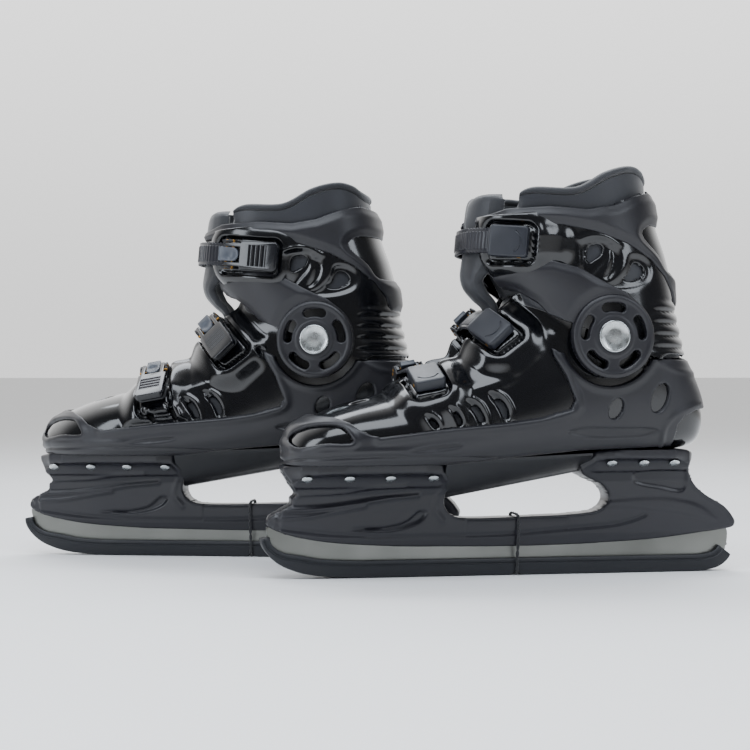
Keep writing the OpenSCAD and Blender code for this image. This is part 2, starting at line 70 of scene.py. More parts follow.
# --------------------------------------------------------------------------- surfaces
# Sections of the foot from toe to ankle: top x, top z, bottom x, bottom z, half width, centre y,
# share of the height above the widest point, roundness above it, roundness below it
FOOT = np.array([
    [-151.9, 89.5, -151.9, 86.5, 2.5, -8, 0.5, 2.0, 2.0],
    [-151, 93, -151, 82, 11, -8, 0.5, 2.0, 2.2],
    [-148.5, 99, -148.5, 78.5, 21, -8, 0.55, 2.0, 2.6],
    [-141, 105.5, -141, 76, 31, -7, 0.58, 2.1, 3.2],
    [-126, 112.5, -126, 76, 41, -5, 0.6, 2.2, 4.0],
    [-106, 119.5, -106, 76, 47, -2.5, 0.6, 2.2, 4.2],
    [-84, 125, -83, 76, 50, -0.5, 0.6, 2.2, 4.2],
    [-62, 133, -53, 77, 49, 0.5, 0.6, 2.2, 4.2],
    [-42, 147, -16, 79.5, 46.5, 0.5, 0.56, 2.2, 4.0],
    [-28, 159, 24, 82, 44, 0, 0.52, 2.3, 3.6],
    [-17, 169, 64, 84.3, 42.5, 0, 0.5, 2.3, 3.2],
    [-9, 178, 102, 84.6, 42, 0, 0.5, 2.3, 2.8],
    [-4, 186, 130, 88, 42, 0, 0.5, 2.4, 2.6],
    [-2, 192, 139, 99, 42, 0, 0.5, 2.4, 2.6],
    [-2, 198, 138, 118, 42.5, 0, 0.5, 2.4, 2.6],
    [-4, 205, 130.5, 138, 43, 0, 0.5, 2.4, 2.6],
    [-8, 212, 121, 158, 43.5, 0, 0.5, 2.4, 2.6],
    [-12, 222, 118, 172, 43.5, 0, 0.5, 2.4, 2.6],
])
CUFF = np.array([
    [-2, 186, 128, 136, 47, 0, 0.5, 2.4, 2.4],
    [-8, 198, 123, 156, 47.2, 0, 0.5, 2.4, 2.4],
    [-15, 209, 118, 178, 47.5, 0, 0.5, 2.4, 2.4],
    [-20, 219, 115, 199, 47.5, 0, 0.5, 2.4, 2.4],
    [-23, 229, 110, 219, 47.5, 0, 0.5, 2.4, 2.4],
    [-24, 240, 103, 239, 48, 0, 0.5, 2.4, 2.4],
    [-22, 251, 99, 259, 49, 0, 0.5, 2.4, 2.4],
    [-17, 264, 97, 283, 50, 0, 0.5, 2.4, 2.4],
])
PIVOT = (62.6, 162.7)
# Each strap's surface, its position along it and the height of its ends' seats
STRAP_LINES = [(FOOT, 7.1, 3.2), (FOOT, 10.0, 4.2), (CUFF, 3.8, 3.9)]
# Angles of each strap's buckle and cap
STRAP_ENDS = [(41, -33), (37, -33), (68, -50)]
# The same, with the ends and half width of the feet that stand there
STRAP_BEDS = [[(b, (-20.5, 21.5, 10.8)), (c, (-14.5, 13.5, 11.0))] for b, c in STRAP_ENDS]


def blend_rows(a: Array, b: Array, c: Array, d: Array, u: Array) -> Array:
    """Gives the point a share of the way from b to c on the smooth curve through a, b, c and d."""
    return 0.5 * (2 * b + (c - a) * u + (2 * a - 5 * b + 4 * c - d) * u**2 + (3 * b - a - 3 * c + d) * u**3)


def row_at(table: Array, s: Array) -> Array:
    """Reads smooth rows of a table of sections.

    Args:
        table: The sections.
        s: Positions along the table, counted from 0.

    Returns:
        One row for each position.
    """
    last = len(table) - 1
    i = np.clip(np.floor(s).astype(int), 0, last - 1)
    return blend_rows(*(table[np.clip(i + k, 0, last)] for k in (-1, 0, 1, 2)), (s - i)[:, None])


def on_loft(table: Array, s: Array, a: Array, off: Array | float = 0.0) -> Array:
    """Gives points on a lofted surface.

    Args:
        table: The sections.
        s: Positions along the loft.
        a: Angles round it in degrees, 0 on top and 90 on the lateral side.
        off: How far outside the surface the points lie.

    Returns:
        The points, in millimetres.
    """
    s, a = np.broadcast_arrays(np.asarray(s, float), np.asarray(a, float))
    s, a = s.ravel(), np.radians(a.ravel())
    row = row_at(table, s)
    top, bottom = row[:, 0:2], row[:, 2:4]
    length = np.linalg.norm(bottom - top, axis=1)
    way = (bottom - top) / length[:, None]
    c, y = -np.cos(a), np.sin(a)
    p = 2 / np.where(c < 0, row[:, 7], row[:, 8])
    half = np.where(c < 0, row[:, 6], 1 - row[:, 6]) * length + off
    along = row[:, 6] * length + np.sign(c) * np.abs(c) ** p * half
    xz = top + way * along[:, None]
    nose = np.clip(1 - s / 3, 0, 1) ** 0.7 if table[0, 4] < 5 else 0.0
    return np.stack([xz[:, 0] - nose * off, row[:, 5] + np.sign(y) * np.abs(y) ** p * (row[:, 4] + off), xz[:, 1]], 1)


def smooth_loop(points: Sequence[Sequence[float]], steps: int = 6) -> Array:
    """Rounds a closed outline by a spline through its points.

    Args:
        points: The outline's corners.
        steps: Points between one corner and the next.

    Returns:
        The denser outline.
    """
    p = np.asarray(points, float)
    out = []
    for i in range(len(p)):
        a, b, c, d = (p[(i + k) % len(p)] for k in (-1, 0, 1, 2))
        t = [0.0]
        for q, r in ((a, b), (b, c), (c, d)):
            t.append(t[-1] + max(np.linalg.norm(r - q), 1e-6) ** 0.5)
        for u in np.linspace(t[1], t[2], steps, endpoint=False):
            ab = ((t[1] - u) * a + (u - t[0]) * b) / (t[1] - t[0])
            bc = ((t[2] - u) * b + (u - t[1]) * c) / (t[2] - t[1])
            cd = ((t[3] - u) * c + (u - t[2]) * d) / (t[3] - t[2])
            abc = ((t[2] - u) * ab + (u - t[0]) * bc) / (t[2] - t[0])
            bcd = ((t[3] - u) * bc + (u - t[1]) * cd) / (t[3] - t[1])
            out.append(((t[2] - u) * abc + (u - t[1]) * bcd) / (t[2] - t[1]))
    return np.array(out)


def arc(centre: tuple[float, float], radius: float, start: float, end: float, steps: int = 14) -> list[list[float]]:
    """Gives points on an arc, its angles in degrees."""
    angles = np.radians(np.linspace(start, end, steps))
    return [[centre[0] + radius * math.cos(t), centre[1] + radius * math.sin(t)] for t in angles]


def inside(outline: Array, xz: Array) -> Array:
    """Measures how deep points lie in a closed outline.

    Args:
        outline: The outline's points.
        xz: The points to measure.

    Returns:
        Distances to the outline, positive inside it.
    """
    a, b = outline, np.roll(outline, -1, 0)
    best = np.full(len(xz), 1e18)
    odd = np.zeros(len(xz), bool)
    for p, q in zip(a, b):
        e = q - p
        w = xz - p
        h = np.clip(w @ e / max(e @ e, 1e-12), 0, 1)
        best = np.minimum(best, ((w - h[:, None] * e) ** 2).sum(1))
        if abs(e[1]) > 1e-12:
            odd ^= ((p[1] > xz[:, 1]) != (q[1] > xz[:, 1])) & (xz[:, 0] < p[0] + e[0] * (xz[:, 1] - p[1]) / e[1])
    return np.sqrt(best) * np.where(odd, 1.0, -1.0)


def outline_field(points: Sequence[Sequence[float]], steps: int = 6) -> Field:
    """Makes a field that is positive inside a side-view outline.

    Args:
        points: The outline's corners, as x and z.
        steps: Points of its spline between corners, or 0 to keep it sharp.

    Returns:
        The field, read at points in space.
    """
    loop = smooth_loop(points, steps) if steps else np.asarray(points, float)
    return lambda p: inside(loop, p[:, [0, 2]])


def curve_field(points: Sequence[Sequence[float]]) -> Field:
    """Makes a field of the distance to an open side-view curve, in millimetres."""
    pts = np.asarray(points, float)
    pad = np.concatenate([[2 * pts[0] - pts[1]], pts, [2 * pts[-1] - pts[-2]]])
    fine = []
    for i in range(1, len(pad) - 2):
        a, b, c, d = pad[i - 1:i + 3]
        for u in np.linspace(0, 1, 7)[:-1]:
            fine.append(blend_rows(a, b, c, d, u))
    fine = np.array([*fine, pts[-1]])

    def read(p: Array) -> Array:
        """Gives each point's distance to the curve."""
        best = np.full(len(p), 1e18)
        for q, r in zip(fine[:-1], fine[1:]):
            w = p[:, [0, 2]] - q
            h = np.clip(w @ (r - q) / max((r - q) @ (r - q), 1e-12), 0, 1)
            best = np.minimum(best, ((w - h[:, None] * (r - q)) ** 2).sum(1))
        return np.sqrt(best)

    return read


def ramp(values: Array, low: float, high: float) -> Array:
    """Turns values to 0 below low and 1 above high, with a smooth rise between them."""
    t = np.clip((values - low) / (high - low), 0, 1)
    return t * t * (3 - 2 * t)


def rounded_box(u: Array, v: Array, half_u: float, half_v: float, radius: float) -> Array:
    """Gives a field that is positive inside a box with round corners, from two local coordinates."""
    du, dv = np.abs(u) - half_u + radius, np.abs(v) - half_v + radius
    return radius - np.hypot(np.maximum(du, 0), np.maximum(dv, 0)) - np.minimum(np.maximum(du, dv), 0)


# --------------------------------------------------------------------------- mesh helpers
def run_lengths(points: Array) -> Array:
    """Gives how far along a line of points each point lies."""
    return np.concatenate([[0], np.cumsum(np.linalg.norm(np.diff(points, axis=0), axis=1))])


def mesh_object(name: str, points: Array, faces: Sequence[Sequence[int]]) -> bpy.types.Object:
    """Makes a mesh object at the origin.

    Args:
        name: The object's name.
        points: Its vertices in millimetres.
        faces: Its faces.

    Returns:
        The object, linked to the scene.
    """
    mesh = bpy.data.meshes.new(name)
    mesh.from_pydata((np.asarray(points) * MM).tolist(), [], [list(f) for f in faces])
    mesh.validate()
    obj = bpy.data.objects.new(name, mesh)
    bpy.context.scene.collection.objects.link(obj)
    return obj


def only(obj: bpy.types.Object) -> bpy.types.Object:
    """Selects one object and makes it active."""
    bpy.ops.object.select_all(action="DESELECT")
    obj.select_set(True)
    bpy.context.view_layer.objects.active = obj
    return obj


def modify(obj: bpy.types.Object, kind: str, **settings: object) -> bpy.types.Object:
    """Adds a modifier and applies it.

    Args:
        obj: The object.
        kind: The modifier's type.
        **settings: Its settings.

    Returns:
        The same object.
    """
    only(obj)
    modifier = obj.modifiers.new(kind.title(), kind)
    for key, value in settings.items():
        setattr(modifier, key, value)
    bpy.ops.object.modifier_apply(modifier=modifier.name)
    return obj


def edit(obj: bpy.types.Object, *steps: Callable[[], object],
    pick: Callable[[bmesh.types.BMFace], bool] | None = None) -> None:
    """Runs edit-mode operators on an object.

    Args:
        obj: The object.
        *steps: The operators to run, in order.
        pick: Says which faces are selected first. All of them are when it is left out.
    """
    only(obj)
    bpy.ops.object.mode_set(mode="EDIT")
    bpy.ops.mesh.select_mode(type="FACE")
    bpy.ops.mesh.select_all(action="SELECT" if pick is None else "DESELECT")
    if pick is not None:
        bm = bmesh.from_edit_mesh(obj.data)
        for f in bm.faces:
            f.select_set(pick(f))
        bmesh.update_edit_mesh(obj.data)
    for step in steps:
        step()
    bpy.ops.object.mode_set(mode="OBJECT")


def outward(obj: bpy.types.Object) -> None:
    """Merges doubles and turns the faces of a closed shape outwards."""
    edit(obj, lambda: bpy.ops.mesh.remove_doubles(threshold=2e-6),
        lambda: bpy.ops.mesh.normals_make_consistent(inside=False))


def smooth(obj: bpy.types.Object, angle: float = 35.0) -> bpy.types.Object:
    """Shades an object smooth except over sharp edges."""
    only(obj)
    bpy.ops.object.shade_smooth_by_angle(angle=math.radians(angle))
    return obj


def join(name: str, parts: Sequence[bpy.types.Object]) -> bpy.types.Object:
    """Joins objects into one mesh and names it."""
    bpy.ops.object.select_all(action="DESELECT")
    for part in parts:
        part.select_set(True)
    bpy.context.view_layer.objects.active = parts[0]
    if len(parts) > 1:
        bpy.ops.object.join()
    parts[0].name = parts[0].data.name = name
    return parts[0]


def place(obj: bpy.types.Object, matrix: Matrix) -> bpy.types.Object:
    """Moves an object's mesh and leaves its origin at the world's."""
    obj.data.transform(matrix @ obj.matrix_world)
    obj.matrix_world = Matrix.Identity(4)
    return obj


def basic(add_shape: Callable[..., object], **settings: object) -> bpy.types.Object:
    """Adds one of Blender's basic shapes and leaves its origin at the world's."""
    bpy.ops.object.select_all(action="DESELECT")
    add_shape(**settings)
    return place(bpy.context.active_object, Matrix.Identity(4))


@dataclass(frozen=True)
class Wall:
    """A moulded wall over a surface of two parameters, kept where a field is positive."""

    name: str
    off: float
    thick: float
    field: Field | None = None
    relief: Field | None = None
    pitch: float = 1.3
    lip: float = 1.0
    depth: float = 2.0
    angle: float = 42.0
    turn: float = 1.0

    def grid(self) -> tuple[Array, Array]:
        """Makes the grid of parameter pairs and its triangles."""
        raise NotImplementedError

    def at(self, sa: Array, off: float | Array) -> Array:
        """Gives the points of parameter pairs at a height over the surface."""
        raise NotImplementedError

    def seam(self, sa: Array) -> Array:
        """Says which pairs lie where the surface closes on itself."""
        return np.zeros(len(sa), bool)

    def mesh_grid(self, rows: int, cols: int) -> Array:
        """Gives the triangles of a grid, turned outwards."""
        k = np.arange(rows * cols).reshape(rows, cols)
        a, b, c, d = k[:-1, :-1].ravel(), k[1:, :-1].ravel(), k[1:, 1:].ravel(), k[:-1, 1:].ravel()
        tris = np.concatenate([np.stack([a, c, b], 1), np.stack([a, d, c], 1)])
        return tris if self.turn > 0 else tris[:, ::-1]

    def normals(self, sa: Array) -> Array:
        """Gives the outward unit normals at parameter pairs."""
        ds = self.at(sa + [1e-3, 0], self.off) - self.at(sa - [1e-3, 0], self.off)
        da = self.at(sa + [0, 0.05], self.off) - self.at(sa - [0, 0.05], self.off)
        n = self.turn * np.cross(da, ds)
        return n / np.maximum(np.linalg.norm(n, axis=1), 1e-9)[:, None]

    def split(self, sa: Array, tris: Array, level: float) -> tuple[Array, Array]:
        """Splits the triangles where the field passes through a level, so that a border has no steps.

        Args:
            sa: The grid's parameter pairs.
            tris: Its triangles.
            level: The field's value along the new edges.

        Returns:
            The new pairs and triangles.
        """
        value = self.field(self.at(sa, self.off + self.thick)) - level
        edges = np.unique(np.sort(np.concatenate([tris[:, [0, 1]], tris[:, [1, 2]], tris[:, [2, 0]]]), 1), axis=0)
        cross = edges[(value[edges[:, 0]] * value[edges[:, 1]]) < 0]
        t = value[cross[:, 0]] / (value[cross[:, 0]] - value[cross[:, 1]])
        sa = sa.copy()
        for near, way in ((t < 0.3, 0), (t > 0.7, 1)):
            i, other = cross[near, way], cross[near, 1 - way]
            share = t[near] if way == 0 else 1 - t[near]
            sa[i] += (sa[other] - sa[i]) * share[:, None]
            value[i] = 0
        cross = edges[(value[edges[:, 0]] * value[edges[:, 1]]) < 0]
        t = value[cross[:, 0]] / (value[cross[:, 0]] - value[cross[:, 1]])
        first = len(sa)
        made = {(int(a), int(b)): first + k for k, (a, b) in enumerate(cross)}
        sa = np.concatenate([sa, sa[cross[:, 0]] + (sa[cross[:, 1]] - sa[cross[:, 0]]) * t[:, None]])
        sign = np.sign(np.concatenate([value, np.zeros(len(cross))]))[tris]
        mixed = (sign.max(1) > 0) & (sign.min(1) < 0)
        extra = []
        for tri in tris[mixed]:
            ring = []
            for a, b in zip(tri, np.roll(tri, -1)):
                ring.append(int(a))
                cut = made.get((int(min(a, b)), int(max(a, b))))
                if cut is not None:
                    ring.append(cut)
            if len(ring) == 3:
                extra.append(ring)
                continue
            if len(ring) == 4:
                k = next(j for j in range(4) if ring[j] >= first)
            else:
                k = next(j for j in range(5) if ring[j] >= first and ring[(j + 2) % 5] >= first)
            ring = ring[k:] + ring[:k]
            extra += [[ring[0], ring[j], ring[j + 1]] for j in range(1, len(ring) - 1)]
        return sa, np.concatenate([tris[~mixed], np.array(extra, int).reshape(-1, 3)])

    def build(self) -> bpy.types.Object:
        """Makes the wall: its outer face with a rounded lip, and a border that runs inwards.

        Returns:
            The finished mesh object.
        """
        sa, tris = self.grid()
        if self.field is not None:
            for level in (0.0, self.lip * 0.15, self.lip * 0.5, self.lip):
                sa, tris = self.split(sa, tris, level)
            value = self.field(self.at(sa, self.off + self.thick))
            tris = tris[value[tris].mean(1) > 1e-4]
            used, tris = np.unique(tris, return_inverse=True)
            tris = tris.reshape(-1, 3)
            sa, value = sa[used], value[used]
            near = np.clip(value, 0, self.lip)
            drop = self.lip - np.sqrt(np.maximum(self.lip**2 - (self.lip - near) ** 2, 0))
        else:
            drop = np.zeros(len(sa))
        base, normal = self.at(sa, self.off + self.thick), self.normals(sa)
        lift = self.relief(base) if self.relief is not None else 0.0
        outer = base + normal * (lift - drop)[:, None]
        pairs = np.concatenate([tris[:, [0, 1]], tris[:, [1, 2]], tris[:, [2, 0]]])
        _, first, count = np.unique(np.sort(pairs, 1), axis=0, return_index=True, return_counts=True)
        rim = pairs[first[count == 1]]
        rim = rim[~self.seam(sa)[rim].all(1)]
        ends = np.unique(rim)
        index = np.full(len(sa), -1)
        index[ends] = np.arange(len(ends)) + len(sa)
        inner = self.at(sa[ends], self.off + self.thick - self.depth)
        walls = [[b, a, index[a], index[b]] for a, b in rim]
        obj = mesh_object(self.name, np.concatenate([outer, inner]), [*tris.tolist(), *walls])
        edit(obj, lambda: bpy.ops.mesh.remove_doubles(threshold=6e-5))
        return smooth(obj, self.angle)


@dataclass(frozen=True)
class Panel(Wall):
    """A wall that follows a lofted surface. Its pairs are positions along the loft and angles round it."""

    table: Array = field(default_factory=lambda: FOOT)
    turn: float = -1.0
    s_range: tuple[float, float] = (0.0, 1.0)
    a_range: tuple[float, float] = (0.0, 360.0)

    def grid(self) -> tuple[Array, Array]:
        """Makes the grid of parameter pairs and its triangles."""
        s_fine = np.linspace(*self.s_range, 400)
        spine = [on_loft(self.table, s_fine, np.full(400, float(a))) for a in (20, 90, 160)]
        step = np.max([np.linalg.norm(np.diff(p, axis=0), axis=1) for p in spine], 0)
        run = np.concatenate([[0], np.cumsum(step)])
        rows = int(run[-1] / self.pitch) + 1
        s = np.interp(np.linspace(0, run[-1], rows), run, s_fine)
        mid = on_loft(self.table, np.full(721, s[int(rows * 0.7)]), np.linspace(*self.a_range, 721))
        cols = int(np.linalg.norm(np.diff(mid, axis=0), axis=1).sum() / self.pitch) + 1
        a_fine = np.linspace(*self.a_range, 1441)
        grid = np.zeros((rows, cols, 2))
        for i, value in enumerate(s):
            ring = on_loft(self.table, np.full(1441, value), a_fine)
            way = run_lengths(ring)
            grid[i, :, 0] = value
            grid[i, :, 1] = np.interp(np.linspace(0, way[-1], cols), way, a_fine)
        return grid.reshape(-1, 2), self.mesh_grid(rows, cols)

    def at(self, sa: Array, off: float | Array) -> Array:
        """Gives the points of parameter pairs at a height over the surface."""
        return on_loft(self.table, sa[:, 0], sa[:, 1], off)

    def seam(self, sa: Array) -> Array:
        """Says which pairs lie where the surface closes on itself."""
        whole = self.a_range[1] - self.a_range[0] > 359
        return np.isclose(np.mod(sa[:, 1] + 1e-5, 360), 0, atol=1e-3) & whole


@dataclass(frozen=True)
class Flank(Wall):
    """Both sides of a flat piece. Its pairs are heights and lengths, and a field gives its half width."""

    half: Field | None = None
    x_range: tuple[float, float] = (-170.0, 170.0)
    z_range: tuple[float, float] = (0.0, 90.0)
    centre: float = 0.0

    def grid(self) -> tuple[Array, Array]:
        """Makes the grid of parameter pairs and its triangles."""
        rows = int((self.z_range[1] - self.z_range[0]) / self.pitch) + 1
        cols = int((self.x_range[1] - self.x_range[0]) / self.pitch) + 1
        z, x = np.meshgrid(np.linspace(*self.z_range, rows), np.linspace(*self.x_range, cols), indexing="ij")
        return np.stack([z.ravel(), x.ravel()], 1), self.mesh_grid(rows, cols)

    def at(self, sa: Array, off: float | Array) -> Array:
        """Gives the points of parameter pairs at a height over the near side."""
        p = np.stack([sa[:, 1], np.zeros(len(sa)), sa[:, 0]], 1)
        p[:, 1] = self.centre - np.maximum(self.half(p) + off, 0)
        return p

    def both(self) -> bpy.types.Object:
        """Makes the near side, mirrors it and closes the two along the middle."""
        obj = self.build()
        modify(obj, "MIRROR", use_axis=(False, True, False), use_mirror_merge=True, merge_threshold=2e-5)
        return smooth(obj, self.angle)


def seat(strap: int, angle: float) -> tuple[Array, Array, Array, Array]:
    """Finds the frame of a buckle or cap: its origin, along the strap, across it, and outwards."""
    table, s, lift = STRAP_LINES[strap]
    p, q, o = (on_loft(table, s, angle + k * math.copysign(1, angle), lift)[0] for k in (0, 2, -2))
    along = (q - o) / np.linalg.norm(q - o)
    row = row_at(table, np.array([s]))[0]
    e = np.array([row[2] - row[0], row[3] - row[1]])
    e = e / np.linalg.norm(e)
    across = np.array([e[1], 0, -e[0]]) * math.copysign(1, angle)
    return p, along, across, np.cross(along, across)


def seat_matrix(strap: int, angle: float) -> Matrix:
    """Gives the matrix that sets a piece made about the origin on its seat, with its lengths in metres."""
    p, along, across, out = seat(strap, angle)
    m = Matrix.Identity(4)
    for i in range(3):
        m[i][0], m[i][1], m[i][2], m[i][3] = along[i], across[i], out[i], p[i] * MM
    return m


def seat_relief(strap: int, rim: float) -> Field:
    """Makes the bed of a strap's two ends: a flat seat and a broad bulge that frames it."""
    frames = [(seat(strap, a), half) for a, half in STRAP_BEDS[strap]]

    def read(p: Array) -> Array:
        """Gives the bed's height at points in space."""
        lift = np.zeros(len(p))
        for (origin, along, across, out), (x0, x1, half) in frames:
            w = p - origin
            u, v, h = w @ along, w @ across, w @ out
            near = np.abs(h) < 26
            d = rounded_box(u - (x0 + x1) / 2, v, (x1 - x0) / 2, half, 3.0)
            bed = np.clip(-0.3 - h, 0, 5) * ramp(d, -2.0, 0.8)
            bulge = rim * (ramp(d, -18, -4.6) - ramp(d, -3.8, -0.8))
            lift += np.where(near, bed + bulge, 0)
        return lift

    return read


def both_of(*fields: Field) -> Field:
    """Adds several reliefs."""
    return lambda p: sum(f(p) for f in fields)


def overlap(*fields: Field) -> Field:
    """Keeps what lies inside all of several outlines."""
    return lambda p: np.min([f(p) for f in fields], 0)


def without(*fields: Field) -> Field:
    """Keeps what lies outside all of several outlines."""
    return lambda p: np.min([-f(p) for f in fields], 0)


def pressed(outline: Field, depth: float, edge: float = 1.2) -> Field:
    """Makes a relief that is as deep as given inside an outline, with a soft edge. A negative depth stands proud."""
    return lambda p: -depth * ramp(outline(p), -edge * 0.3, edge)


def lined(curve: Field, height: float, width: float) -> Field:
    """Makes a rounded rib, or a groove of negative height, along a curve."""
    return lambda p: height * np.exp(-((curve(p) / width) ** 2))


def slab(name: str, outline: Sequence[Sequence[float]], low: float, high: float, bevel: float = 0.6,
    segments: int = 3) -> bpy.types.Object:
    """Raises a block from an outline and rounds its edges.

    Args:
        name: The object's name.
        outline: The outline's corners in x and y, anticlockwise from above.
        low: Height of its underside.
        high: Height of its top.
        bevel: Width of the rounding.
        segments: Facets in the rounding.

    Returns:
        The block.
    """
    points = [[x, y, low] for x, y in outline]
    obj = mesh_object(name, np.array(points), [list(range(len(points)))[::-1]])
    edit(obj, lambda: bpy.ops.mesh.extrude_region_move(TRANSFORM_OT_translate={"value": (0, 0, (high - low) * MM)}))
    outward(obj)
    if bevel:
        modify(obj, "BEVEL", width=bevel * MM, segments=segments, limit_method="ANGLE", angle_limit=math.radians(50),
            use_clamp_overlap=True)
    return obj


def carve(obj: bpy.types.Object, *cutters: bpy.types.Object) -> bpy.types.Object:
    """Cuts solids out of a solid and deletes them."""
    for cutter in cutters:
        modify(obj, "BOOLEAN", object=cutter, operation="DIFFERENCE", solver="EXACT")
        bpy.data.objects.remove(cutter, do_unlink=True)
    return obj


def rounded(half_x: float, half_y: float, radius: float, centre: tuple[float, float] = (0, 0),
    steps: int = 6) -> list[list[float]]:
    """Gives a rectangle with round corners, anticlockwise."""
    out = []
    for k, (sx, sy) in enumerate(((1, 1), (-1, 1), (-1, -1), (1, -1))):
        corner = (centre[0] + sx * (half_x - radius), centre[1] + sy * (half_y - radius))
        out += arc(corner, radius, 90 * k, 90 * k + 90, steps)
    return out


def sweep(name: str, line: Array, ring: Callable[[float, int], Array], ups: Array,
    capped: bool = True) -> bpy.types.Object:
    """Sweeps a changing section along a line.

    Args:
        name: The object's name.
        line: The points of the line in millimetres.
        ring: Gives the section's (across, up) pairs at a share of the way, for a ring's number.
        ups: The up direction at each point.
        capped: Whether the ends are closed.

    Returns:
        The swept mesh.
    """
    tangent = np.gradient(line, axis=0)
    tangent /= np.linalg.norm(tangent, axis=1)[:, None]
    ups = ups - (ups * tangent).sum(1)[:, None] * tangent
    ups /= np.linalg.norm(ups, axis=1)[:, None]
    side = np.cross(tangent, ups)
    rings = [ring(i / (len(line) - 1), i) for i in range(len(line))]
    n = len(rings[0])
    points = np.concatenate([line[i] + side[i] * r[:, :1] + ups[i] * r[:, 1:] for i, r in enumerate(rings)])
    faces = [[i * n + k, i * n + (k + 1) % n, (i + 1) * n + (k + 1) % n,
        (i + 1) * n + k] for i in range(len(line) - 1) for k in range(n)]
    if capped:
        faces += [list(range(n))[::-1], [(len(line) - 1) * n + k for k in range(n)]]
    obj = mesh_object(name, points, faces)
    outward(obj)
    return smooth(obj, 40)


def spline(points: Sequence[Sequence[float]], steps: int) -> Array:
    """Draws a smooth open line through points in space."""
    p = np.asarray(points, float)
    pad = np.concatenate([[2 * p[0] - p[1]], p, [2 * p[-1] - p[-2]]])
    table = np.linspace(0, len(p) - 1, steps)
    i = np.clip(np.floor(table).astype(int), 0, len(p) - 2)
    return blend_rows(*(pad[i + k] for k in range(4)), (table - i)[:, None])


# --------------------------------------------------------------------------- finishes
def linear(colour: str) -> tuple[float, float, float, float]:
    """Turns an sRGB hex colour to linear light."""
    parts = [int(colour[i:i + 2], 16) / 255 for i in (1, 3, 5)]
    return (*[c / 12.92 if c <= 0.04045 else ((c + 0.055) / 1.055) ** 2.4 for c in parts], 1.0)


def add(tree: bpy.types.NodeTree, kind: str, links: dict[str | int, object] | None = None,
    **settings: object) -> bpy.types.Node:
    """Adds a shader node.

    Args:
        tree: The material's node tree.
        kind: The node's kind, without its prefix.
        links: Values or sockets for its inputs.
        **settings: Its properties.

    Returns:
        The node.
    """
    node = tree.nodes.new("ShaderNode" + kind)
    for key, value in settings.items():
        setattr(node, key, value)
    for key, value in (links or {}).items():
        if isinstance(value, bpy.types.NodeSocket):
            tree.links.new(value, node.inputs[key])
        else:
            node.inputs[key].default_value = value
    return node


@dataclass(frozen=True)
class Finish:
    """A surface: a base colour that drifts a little, a grain in relief, and a gloss that drifts with it."""

    name: str
    colour: str
    worn: str
    roughness: float
    spread: float = 0.05
    grain: float = 0.8
    relief: float = 0.02
    drift: float = 30.0
    metallic: float = 0.0
    coat: float = 0.0
    coat_roughness: float = 0.08
    sheen: float = 0.0
    ior: float = 1.5
    stretch: tuple[float, float, float] = (1.0, 1.0, 1.0)

    def height(self, tree: bpy.types.NodeTree, at: bpy.types.NodeSocket) -> bpy.types.NodeSocket:
        """Makes the grain's height from the object's own coordinates."""
        turned = add(tree, "Mapping", {"Vector": at, "Scale": self.stretch})
        noise = add(tree, "TexNoise", {"Vector": turned.outputs[0], "Scale": 1000 / self.grain, "Detail": 2.0,
            "Roughness": 0.6})
        return noise.outputs["Fac"]

    def make(self) -> bpy.types.Material:
        """Makes the material.

        Returns:
            The finished node material.
        """
        material = bpy.data.materials.new(self.name)
        material.use_nodes = True
        tree = material.node_tree
        tree.nodes.clear()
        at = add(tree, "TexCoord").outputs["Object"]
        slow = add(tree, "TexNoise", {"Vector": at, "Scale": 1000 / self.drift, "Detail": 3.0}).outputs["Fac"]
        height = self.height(tree, at)
        mix = add(tree, "Mix", {0: slow, 6: linear(self.colour), 7: linear(self.worn)}, data_type="RGBA")
        gloss = add(tree, "MapRange", {"Value": slow, "From Min": 0.3, "From Max": 0.7,
            "To Min": self.roughness - self.spread, "To Max": self.roughness + self.spread})
        bump = add(tree, "Bump", {"Height": height, "Distance": self.relief * MM, "Strength": 1.0})
        body = add(tree, "BsdfPrincipled", {"Base Color": mix.outputs[2], "Roughness": gloss.outputs[0],
            "Normal": bump.outputs[0]})
        body.inputs["Metallic"].default_value = self.metallic
        body.inputs["IOR"].default_value = self.ior
        body.inputs["Coat Weight"].default_value = self.coat
        body.inputs["Coat Roughness"].default_value = self.coat_roughness
        body.inputs["Sheen Weight"].default_value = self.sheen
        body.inputs["Sheen Roughness"].default_value = 0.5
        out = add(tree, "OutputMaterial", {"Surface": body.outputs[0]})
        out.name = "Surface"
        return material


@dataclass(frozen=True)
class Weave(Finish):
    """A knitted or woven cloth, drawn as crossed waves of its thread spacing."""

    thread: float = 1.1

    def height(self, tree: bpy.types.NodeTree, at: bpy.types.NodeSocket) -> bpy.types.NodeSocket:
        """Crosses two waves as wide as the thread and breaks them up with a fine noise."""
        waves = []
        for direction in ("X", "Z"):
            wave = add(tree, "TexWave", {"Vector": at, "Scale": 314.16 / self.thread / 10, "Distortion": 0.6,
                "Detail": 1.0}, bands_direction=direction)
            waves.append(wave.outputs["Fac"])
        cross = add(tree, "Math", {0: waves[0], 1: waves[1]}, operation="MULTIPLY")
        fuzz = add(tree, "TexNoise", {"Vector": at, "Scale": 1000 / self.grain, "Detail": 2.0})
        return add(tree, "Math", {0: cross.outputs[0], 1: fuzz.outputs["Fac"]}, operation="ADD").outputs[0]


